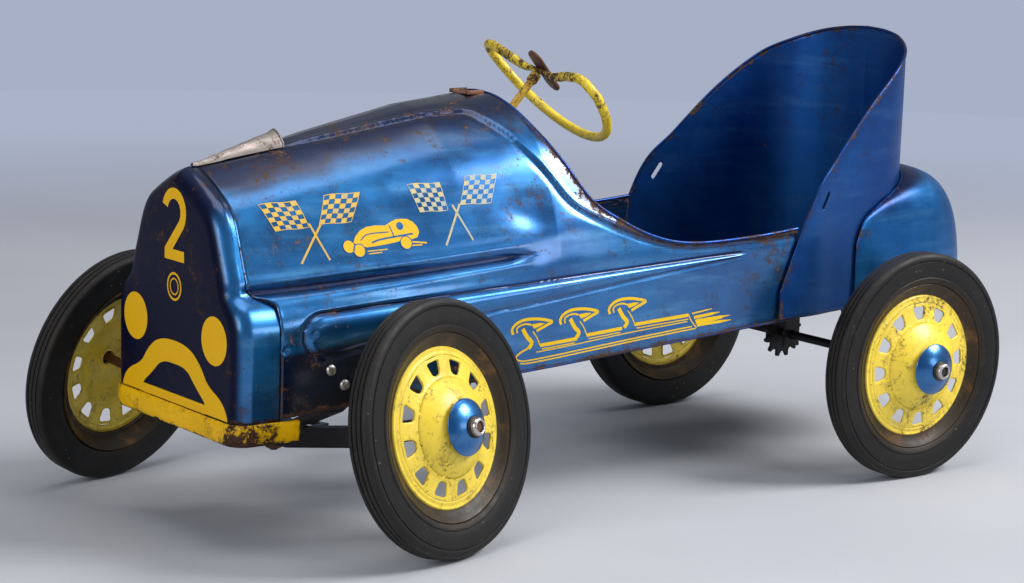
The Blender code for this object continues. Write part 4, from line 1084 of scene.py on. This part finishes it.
def hole_outline(steps=8):
    """The rounded wedge of one wheel hole as (angle, radius) points."""
    wide_in, wide_out = math.radians(5.6), math.radians(7.8)
    wedge = ((-wide_out, HOLE_OUT), (wide_out, HOLE_OUT), (wide_in, HOLE_IN), (-wide_in, HOLE_IN))
    corners = [Vector((t * r, r)) for t, r in wedge]
    points = []
    for i, c in enumerate(corners):
        reach = 3.2 if i < 2 else 4.4
        start, end = (c + (near - c).normalized() * reach for near in (corners[i - 1], corners[(i + 1) % 4]))
        for s in range(steps):
            u = s / (steps - 1)
            p = start * (1 - u) ** 2 + c * 2 * u * (1 - u) + end * u**2
            points.append((p.x / p.y, p.y))
    return points


def sector_edge(t, r):
    """Where the line from the hole's middle through this point leaves the hole's sector."""
    d = Vector((t * HOLE_MID, r - HOLE_MID))
    half = PITCH / 2 * HOLE_MID
    limits = ((half, 0), (-half, 0), (RING_OUT - HOLE_MID, 1), (RING_IN - HOLE_MID, 1))
    d *= min(k for k in (limit / d[axis] for limit, axis in limits if abs(d[axis]) > 1e-9) if k > 0)
    return d.x / HOLE_MID, d.y + HOLE_MID


def build_disc():
    """The wheel's pressed disc: lathed rings inside and out, and a sector around each rounded hole."""
    b = bmesh.new()

    def vert(height, radius, angle):
        return b.verts.new((height * MM, radius * MM * math.cos(angle), radius * MM * math.sin(angle)))

    def strips(loops):
        for lo, hi in zip(loops, loops[1:]):
            for i in range(len(lo)):
                j = (i + 1) % len(lo)
                b.faces.new((lo[i], lo[j], hi[j], hi[i]))

    segments = HOLES * 12
    for ring in ([p for p in DISC if p[1] >= RING_OUT - 0.01], [p for p in DISC if p[1] <= RING_IN + 0.01]):
        strips([[vert(along, r, math.tau * s / segments) for s in range(segments)] for along, r in ring])
    outline = hole_outline()
    border = [sector_edge(t, r) for t, r in outline]
    n = len(outline)
    for sector in range(HOLES):
        center = FIRST_HOLE + sector * PITCH
        loops = []
        for k, (share, drop) in enumerate(HOLE_LOOPS):
            loop = []
            for (t0, r0), (t1, r1) in zip(outline, border):
                t, r = t0 + (t1 - t0) * share, r0 + (r1 - r0) * share
                if k == 0:
                    t, r = t0 * 0.97, r0 + (HOLE_MID - r0) * 0.03
                loop.append(vert(table(RISING_PART, r) - drop, r, center + t))
            loops.append(loop)
        strips(loops)
        last = loops[-1]
        for side, r in ((-1, RING_OUT), (1, RING_OUT), (1, RING_IN), (-1, RING_IN)):
            corner = vert(table(RISING_PART, r), r, center + side * PITCH / 2)
            near = min(range(n), key=lambda i: (last[i].co - corner.co).length)
            for i in (near - 1, near):
                one, two = last[i % n], last[(i + 1) % n]
                if min((one.co - corner.co).length, (two.co - corner.co).length) > 1e-6:
                    b.faces.new((corner, one, two))
    bmesh.ops.remove_doubles(b, verts=b.verts, dist=12 * MERGE)
    face_out(b)
    return mesh_of(b)


# Piece, profile, segments, material, what it stands for, slot and shading angle.
TURNED = (
    ("tread_", TYRE, 180, RUBBER, "tyre_", "tyre_rubber", 28),
    ("rim_band_", RIM_BAND, 144, GRIME, None, "yellow_paint", 35),
    ("pressed_disc_", DISC, 0, LEMON, "wheel_disc_", "yellow_paint", 38),
    ("cap_dome_", CAP, 120, BLUE_CAP, "hub_cap_", "blue_paint", 35),
    ("washer_", WASHER, 72, BLACK, None, "black_steel", 42),
    ("push_nut_", PUSH_NUT, 72, NUT, "axle_nut_", "bright_steel", 35),
)

for code, (wheel_body, nut_body, frame_of_wheel) in WHEELS.items():
    for piece, profile, segments, material, stands_for, slot, angle in TURNED:
        mesh = build_disc() if profile is DISC else lathe(profile, segments)
        body = nut_body if profile in (WASHER, PUSH_NUT) else wheel_body
        replaces = [stands_for + code] if stands_for else ()
        thing = link(piece + code, mesh, material, body, replaces, angle, frame_of_wheel)
        if profile is DISC:
            thicken(thing, THIN_SHEET)


# ---------------------------------------------------------------- steering wheel and column

HUB = (0, -360, 435)
TILT = math.radians(-43)
COLUMN = Matrix.Translation(W(HUB)) @ Matrix.Rotation(TILT, 4, "X")
LEAN = COLUMN @ Euler((math.radians(-5.1), math.radians(8.6), math.radians(2.85))).to_matrix().to_4x4()
# The rim's flat side as (x, y, z, thickness).
RIM_BAR = [
    (95, -5, 2, 1), (86, -11, 3, 1), (74, -12, 2.5, 1), (62, -9, 2.5, 1), (50, -6, 2.2, 1), (40, -3, 1.2, 1),
    (29, -1, 0.2, 0.8), (14, 0, 0, 0.6), (0, 0, 0, 0.6), (-12, 0, 0, 0.6), (-25, -1, -1.5, 0.85),
    (-45, -4, -0.5, 1), (-62, -6, 1, 1), (-80, -9, 1.8, 1), (-92, -9, 2, 1), (-98, -3, 2, 1),
]


def build_steering():
    """The D-shaped rim bent from one tube, its crossbar pressed flatter at the hub, and the hub plate."""
    keys = [(x, y, 2, 1) for x, y in arc((0, -7), 100, 172, 8, 30)] + RIM_BAR
    loop = keys[-2:] + keys + keys[:2]
    route, sizes, ages = [], [], []
    for i in range(1, len(keys) + 1):
        for part in range(5):
            x, y, z, size = curve_at(loop, i + part / 5)
            route.append((x, y, z))
            sizes.append(size)
            ages.append(0.15 + 0.85 * smooth(0.55, 0.05, y / 100) * (1 if x < 60 else 0.7))
    rim = tube(route, 4.9, 18, True, local, sizes, ages)
    link("wheel_rim", rim, LEMON_RING, "steering", ["steering_wheel"], 60, LEAN)
    plate = arc((0, 21), 10.6, 0, 180, 16) + arc((0, -13), 10.6, 180, 360, 16)
    b = bmesh.new()
    prism(b, *[[local((x, y, z)) for x, y in plate] for z in (3.2, 6.6)])
    sharp = [e for e in b.edges if e.calc_face_angle(0) > 0.8]
    bmesh.ops.bevel(b, geom=sharp, offset=0.9 * MM, segments=3, affect="EDGES", profile=0.5)
    link("hub_strap", mesh_of(b), RUSTY, "steering", ["steering_hub_plate"], 40, LEAN)
    upright = Matrix.Rotation(-math.pi / 2, 4, "Y")
    head = [(0, 0), (0, 3.6), (0.8, 3.4), (1.5, 2.5), (1.8, 0)]
    for number, y in enumerate((-13, 21)):
        m = LEAN @ Matrix.Translation(local((0, y, 6.5))) @ upright
        link(f"hub_rivet_{number}", lathe(head, 24), RUSTY, "steering", matrix=m)
    collar = [(-15, 4.25), (-15, 5.2), (-13, 5.8), (-5.6, 5.8), (-4.4, 5.0), (-4.2, 4.25)]
    m = COLUMN @ upright
    link("column_collar", lathe(collar, 40), LEMON_ROD, "steering", matrix=m)


build_steering()


# ---------------------------------------------------------------- printed decoration

INK_STEP, INK_CUTS = 3.2, 5  # edges longer than the step are halved, up to so many times
INK_LIFT = 0.30


def ink(name, polygons, material, lift=INK_LIFT, on_nose=False):
    """Flat shapes in (y, z) laid on both sides of the car, or in (x, z) on the nose, as thin raised ink."""
    b = bmesh.new()
    for outline in polygons:
        b.faces.new([b.verts.new((p[0], 0, p[1])) for p in outline]).normal_update()
    bmesh.ops.triangulate(b, faces=b.faces[:], quad_method="BEAUTY", ngon_method="EAR_CLIP")
    for _ in range(0 if on_nose else INK_CUTS):
        long_edges = [e for e in b.edges if e.calc_length() > INK_STEP]
        if not long_edges:
            break
        bmesh.ops.subdivide_edges(b, edges=long_edges, cuts=1, use_grid_fill=False)
        bmesh.ops.triangulate(b, faces=b.faces[:])
    flat = [(v.co.x, v.co.z) for v in b.verts]
    b.verts.index_update()
    faces = [[v.index for v in f.verts] for f in b.faces]
    b.free()
    if on_nose:
        verts = [(x, NOSE_Y - lift, z) for x, z in flat]
        sides = ((name, 1),)
    else:
        verts = [skin_point(y, place_at(y, z), lift) for y, z in flat]
        sides = ((name + "_left", 1), (name + "_right", -1))
    for label, side in sides:
        mesh = bpy.data.meshes.new("piece")
        mesh.from_pydata([W((x * side, y, z)) for x, y, z in verts], [], faces)
        mesh.validate()

        def look_out(b):
            even_out(b)
            for face in b.faces:
                if (-face.normal.y if on_nose else face.normal.x * side) < 0:
                    face.normal_flip()

        link(label, reworked(mesh, look_out), material, "body", angle=60)


def band(points, width, closed=False):
    """Quads along a line that meet at its points; width is one number or one per point."""
    pts = [Vector(p) for p in points]
    if closed:
        pts.append(pts[0])
    last = len(pts) - 1
    widths = width if isinstance(width, list) else [width] * len(pts)
    reach = []
    for i in range(len(pts)):
        a, z = pts[max(i - 1, 0)], pts[min(i + 1, last)]
        if closed and i in (0, last):
            a, z = pts[-2], pts[1]
        run = (z - a).normalized()
        reach.append(Vector((-run.y, run.x)) * widths[i] / 2)
    quads = []
    for i in range(last):
        a, z, out_a, out_z = pts[i], pts[i + 1], reach[i], reach[i + 1]
        quads.append([tuple(a + out_a), tuple(z + out_z), tuple(z - out_z), tuple(a - out_a)])
    return quads


def round_shape(center, radius, count=48):
    turns = [math.tau * s / count for s in range(count)]
    return [(center[0] + radius * math.cos(t), center[1] + radius * math.sin(t)) for t in turns]


def flag(corners, squares=6):
    """A chequered flag between four corners: every other square, and a thin border."""
    c = [Vector(p) for p in corners]

    def at(s, t):
        low, high = c[0].lerp(c[1], s), c[3].lerp(c[2], s)
        return tuple(low.lerp(high, t) + Vector((0, 0.5 * math.sin(s * math.tau))))

    shapes = []
    for i in range(squares):
        for j in range(i % 2, squares, 2):
            s0, s1, t0, t1 = (v / squares for v in (i, i + 1, j, j + 1))
            shapes.append([at(s0, t0), at(s1, t0), at(s1, t1), at(s0, t1)])
    border = [at(s / 8, 0) for s in range(9)] + [at(1, t / 4) for t in range(1, 5)]
    border += [at(1 - s / 8, 1) for s in range(1, 9)] + [at(0, 1 - t / 4) for t in range(1, 4)]
    return shapes, band(border, 0.7, closed=True)


def crossed_flags(name, left, right, poles, material):
    """Two poles that cross under a pair of flags."""
    left, left_edge = flag(left)
    right, right_edge = flag(right)
    ink(name + "_poles", [quad for pole in poles for quad in band(pole, 2.0)], material)
    ink(name + "_squares", left + right, material)
    ink(name + "_border", left_edge + right_edge, material, lift=0.34)


def race_car(name):
    """A plain open racing car of no particular make, nose toward the front."""
    outline = [
        (-651, 289), (-648, 294.5), (-642, 300), (-635, 303), (-626, 304), (-615, 303.5), (-610, 306),
        (-604, 308.5), (-598, 309), (-591, 308.5), (-585.5, 305.5), (-582, 301), (-581, 296), (-584, 291.5),
        (-591, 289.5), (-601, 289), (-613, 287), (-626, 285.5), (-638, 284.5), (-643, 286),
    ]
    ink(name + "_body", [outline], CAR_INK)
    for tag, y, z in (("near", -646, 282), ("far", -656, 286), ("rear", -596.5, 287)):
        ink(f"{name}_{tag}_wheel", [round_shape((y, z), 5.6, 28)], CAR_INK, lift=0.36)
        gap = band(round_shape((y, z), 6.0, 28), 0.8, closed=True)
        ink(f"{name}_{tag}_gap", gap, INK_GAP, lift=0.42)
    gaps = [round_shape((-600, 302.5), 3.6, 20)]
    gaps += band(curve_points([(-632, 288.5), (-623, 291), (-607, 293), (-588, 295)], 14), 1.5)
    gaps += band(curve_points([(-643, 291), (-637, 295.5), (-628, 297), (-613, 297.5)], 14), 1.0)
    gaps += band([(-611, 303.5), (-609, 297.5), (-608, 292)], 1.0)
    ink(name + "_gaps", gaps, INK_GAP, lift=0.42)
    speed = band([(-590, 287.5), (-575, 286)], 1.5) + band([(-591, 284.2), (-580, 284.5)], 1.2)
    speed += band([(-638, 281), (-617, 282)], 1.0) + band([(-637, 278.5), (-623, 279.5)], 1.0)
    ink(name + "_speed", speed, CAR_INK)


# One pipe's strokes as (width, line): its hooked head, the line in it, its stem and its edge.
PIPE = (
    (3.0, ((-484.5, 191.5), (-486, 196.5), (-482, 201.5), (-473.5, 205), (-461.5, 205.5), (-449.5, 204),
           (-439, 201), (-445, 198), (-457, 193))),
    (1.8, ((-479.5, 192.5), (-480.5, 197), (-476, 200), (-469, 201), (-463.5, 199.5))),
    (4.4, ((-473.5, 196.5), (-468, 188), (-462, 181.5), (-465.5, 176))),
    (1.2, ((-461.5, 193), (-456, 186), (-451, 176.5))),
)
PIPE_WEDGE = ((-463.5, 200), (-454, 200.8), (-447, 200.2), (-452, 197.6), (-460, 195.5), (-462, 198))
PIPE_SHIFTS = ((0, 0), (57, 5.5), (118, 11))
LONG_LINES = (
    (1.1, ((-456, 171.5), (-411.5, 175), (-345, 180.8), (-265, 186.2))),
    (1.4, ((-480.5, 168), (-476, 164.6), (-462.5, 164), (-398.5, 169.4), (-335, 174.6), (-258, 180.5))),
    (1.4, ((-474.5, 161.4), (-459.5, 161.4), (-395.5, 166.8), (-335, 172), (-253, 178))),
    (1.3, ((-264, 194), (-259.5, 186.5), (-252, 178.5))),
)
STREAKS = (
    ((-259, 194), (-232, 197), 1.6), ((-256, 189.6), (-221.5, 192.6), 3.2), ((-254, 186), (-207, 188), 3.0),
    ((-251.5, 181.2), (-205.5, 183), 3.2), ((-253, 183.6), (-217, 186), 2.6),
)


def pipes(name):
    """Three hooked pipes above one long double line that ends in tapering streaks."""
    shapes = []
    for k, (dy, dz) in enumerate(PIPE_SHIFTS):
        for wide, line in PIPE:
            shapes += band(curve_points([(y + dy, z + dz) for y, z in line], 5 * len(line)), wide)
        shapes.append([(y + dy, z + dz) for y, z in PIPE_WEDGE])
        if k < 2:
            shapes += band([(-451.5 + dy, 178 + dz), (-407 + dy, 181 + dz)], 3.6)
            shapes += band([(-449.5 + dy, 174 + dz), (-409 + dy, 177 + dz)], 1.2)
    shapes += band([(-465.5, 176.5), (-475, 172.5), (-480.5, 168.5)], 2.0)
    shapes += band([(-333, 189), (-264, 192.8)], 3.6) + band([(-331, 185), (-263.5, 188.6)], 1.2)
    for wide, line in LONG_LINES:
        shapes += band(curve_points(line, 24), wide)
    for start, end, wide in STREAKS:
        mid = tuple(Vector(start).lerp(Vector(end), 0.7))
        shapes += band([start, mid, end], [wide, wide * 0.9, 0.5])
    ink(name + "_lines", shapes, PIPE_INK)


def numeral(name):
    """A plain block numeral for the nose, made of straight bars and one round bow."""
    left, right, low, high, thick = -18.5, 18.5, 268, 334, 10.5
    slope = math.radians(-38)
    bow = arc((-1, high - 19.5), 17.5, 165, -38, 22)
    end = (bow[-1][0] + math.sin(slope) * 2, bow[-1][1] - math.cos(slope) * 2)
    nx, nz = math.cos(slope) * thick / 2, math.sin(slope) * thick / 2
    foot = low + thick
    shapes = band(bow + [end], thick)
    shapes.append([(left, low), (right, low), (right, foot), (left, foot)])
    shapes.append([
        (left, foot + 0.05), (-3.5, foot + 0.05), (end[0] + nx, end[1] + nz), (end[0] - nx, end[1] - nz)])
    ink(name, shapes, AMBER_FLAT, on_nose=True)


def grille_arch(name):
    """The broad arch over the lip, as quads between its outer and its inner line."""
    outer = curve_points([
        (101, 131), (99.5, 136), (94, 144), (84, 151), (72, 156), (62, 162), (54, 171), (45, 179), (33, 186),
        (17, 190), (0, 191)], 40)
    inner = curve_points([
        (60, 131), (59.5, 136), (59, 140), (55, 144), (45, 151), (36, 158), (28, 164), (18, 167.5),
        (8, 168.5), (0, 168.5)], 40)
    shapes = []
    for side in (1, -1):
        for quad in zip(outer, outer[1:], inner[1:], inner):
            shapes.append([(x * side, z) for x, z in quad])
    shapes += [[(x, 130.5), (x + 15, 130.5), (x + 15, 139.5), (x, 139.5)] for x in range(-60, 60, 15)]
    ink(name, shapes, AMBER_FLAT, on_nose=True)


def nose_print():
    numeral("nose_numeral")
    for tag, radius, wide in (("ring", 12.6, 2.2), ("dot", 7.6, 1.5)):
        ring = band(round_shape((0, 243), radius), wide, closed=True)
        ink("nose_badge_" + tag, ring, AMBER_FLAT, on_nose=True)
    for tag, x in (("left", 75.3), ("right", -75.3)):
        ink("lamp_" + tag, [round_shape((x, 203), 23.2, 72)], AMBER_FLAT, on_nose=True)
    grille_arch("grille_arch")


crossed_flags(
    "flags_front", ((-726.5, 303), (-692.5, 305.5), (-700, 329), (-737, 326.5)),
    ((-682, 307), (-649, 308.5), (-634, 334.5), (-670.5, 332.5)),
    (((-692, 308.5), (-677.5, 275)), ((-679.5, 308.5), (-706.5, 273))), FLAG_INK,
)
crossed_flags(
    "flags_rear", ((-576, 314), (-546.5, 315), (-549.5, 340.5), (-583.5, 339.5)),
    ((-532.5, 319), (-498.5, 320), (-485.5, 346.5), (-520.5, 345)),
    (((-541, 319.5), (-525.5, 286)), ((-533, 320), (-555, 282.5))), FLAG_FAINT,
)
race_car("racing_car")
pipes("pipes")
nose_print()


# ---------------------------------------------------------------- carried-over CAD pieces

CARRIED = {
    RUSTY: ("kingpin_bolt", "kingpin_nut", "crank", "spindle_bar_front_left", "spindle_bar_front_right",
            "pedal_cap_left", "pedal_cap_right"),
    BLACK: ("chassis_rail_left", "chassis_rail_right", "front_crossmember", "rear_crossbar", "axle_yoke",
            "axle_hanger_left", "axle_hanger_right", "dash_strap", "column_foot", "seat_pan", "front_beam",
            "steering_arm", "rear_axle", "rear_sprocket", "chainring"),
    LEMON_ROD: ("steering_column",),
    PEDAL: ("pedal_left", "pedal_right"),
}
for material, names in CARRIED.items():
    for name in names:
        mesh = NODES[name].data
        mesh.materials.clear()
        mesh.materials.append(material)


# ---------------------------------------------------------------- floor, light, camera

BACKDROP = (0.39, 0.434, 0.558, 1)
SKY = (0.62, 0.68, 0.8, 1)
SKY_STRENGTH = 0.36
FLOOR_RADIUS, FLOOR_FADE = 4.2, (1.3, 3.4)  # in metres from the middle


def floor():
    """A pale disc whose rim glows in the backdrop's colour, so that it has no visible end."""
    b = bmesh.new()
    bmesh.ops.create_circle(b, cap_ends=True, radius=FLOOR_RADIUS, segments=96)
    thing = bpy.data.objects.new("studio_floor", mesh_of(b))
    bpy.context.scene.collection.objects.link(thing)
    g = Nodes("studio_floor")
    x, y = g.axis("X"), g.axis("Y")
    fade = g.range(g.math("SQRT", x * x + y * y), *FLOOR_FADE)
    pale = g.mix(g.range(g.noise(1.5, 3, 0.5), 0.3, 0.7), rgb(180, 182, 188), rgb(188, 190, 196))
    g.set(
        Base_Color=g.mix(fade, pale, (0, 0, 0, 1)), Roughness=0.7, Specular_IOR_Level=0.1,
        Emission_Color=BACKDROP, Emission_Strength=fade)
    thing.data.materials.append(g.material)


def softbox(name, place, aim, size, power, color=(1, 1, 1), tall=None):
    light = bpy.data.lights.new(name, "AREA")
    light.energy = power
    light.color = color
    light.shape = "RECTANGLE"
    light.size = size
    light.size_y = tall or size
    thing = bpy.data.objects.new(name, light)
    thing.location = place
    thing.rotation_euler = (Vector(aim) - Vector(place)).to_track_quat("-Z", "Y").to_euler()
    bpy.context.scene.collection.objects.link(thing)


def surroundings():
    """Light comes from the sky colour, while the camera sees the backdrop's."""
    world = bpy.data.worlds.new("studio")
    bpy.context.scene.world = world
    world.use_nodes = True
    nodes, links = world.node_tree.nodes, world.node_tree.links
    sky = nodes["Background"]
    sky.inputs["Color"].default_value = SKY
    sky.inputs["Strength"].default_value = SKY_STRENGTH
    behind = nodes.new("ShaderNodeBackground")
    behind.inputs["Color"].default_value = BACKDROP
    either = nodes.new("ShaderNodeMixShader")
    links.new(nodes.new("ShaderNodeLightPath").outputs["Is Camera Ray"], either.inputs[0])
    links.new(sky.outputs[0], either.inputs[1])
    links.new(behind.outputs[0], either.inputs[2])
    links.new(either.outputs[0], nodes["World Output"].inputs["Surface"])


WARM = (1, 0.99, 0.97)
floor()
softbox("key", (1.7, 2.2, 2.5), (0, 0, 0.2), 1.7, 138, WARM, 1.2)
softbox("top", (0.2, -0.2, 3.0), (0, 0, 0), 2.0, 26)
softbox("side", (3.2, 1.4, 0.9), (0, 0, 0.25), 1.0, 12, tall=0.7)
softbox("front_fill", (1.2, -3.4, 1.5), (0, 0, 0.2), 1.4, 44, WARM)
surroundings()

# The camera as fitted to the wheels and the body's edges; its focal length is in picture widths.
CAMERA_PLACE = (2095.18, -1962.66, 660.39)
AZIMUTH, ELEVATION, ROLL = math.radians(53.05), math.radians(9.84), math.radians(1.63)
FOCAL = 2550.93 / 1024
SENSOR = 36.0
right = Vector((math.cos(AZIMUTH), math.sin(AZIMUTH), 0))
back = Vector((
    math.sin(AZIMUTH) * math.cos(ELEVATION), -math.cos(AZIMUTH) * math.cos(ELEVATION), math.sin(ELEVATION)))
up = back.cross(right)
right_rolled = right * math.cos(ROLL) + up * math.sin(ROLL)
up_rolled = up * math.cos(ROLL) - right * math.sin(ROLL)
camera_data = bpy.data.cameras.new("camera")
camera_data.sensor_width = SENSOR
camera_data.lens = FOCAL * SENSOR
camera = bpy.data.objects.new("camera", camera_data)
turn = Matrix((right_rolled, up_rolled, back)).transposed().to_4x4()
camera.matrix_world = Matrix.Translation(W(CAMERA_PLACE)) @ turn
bpy.context.scene.collection.objects.link(camera)
bpy.context.scene.camera = camera
bpy.context.scene.view_settings.view_transform = "Standard"
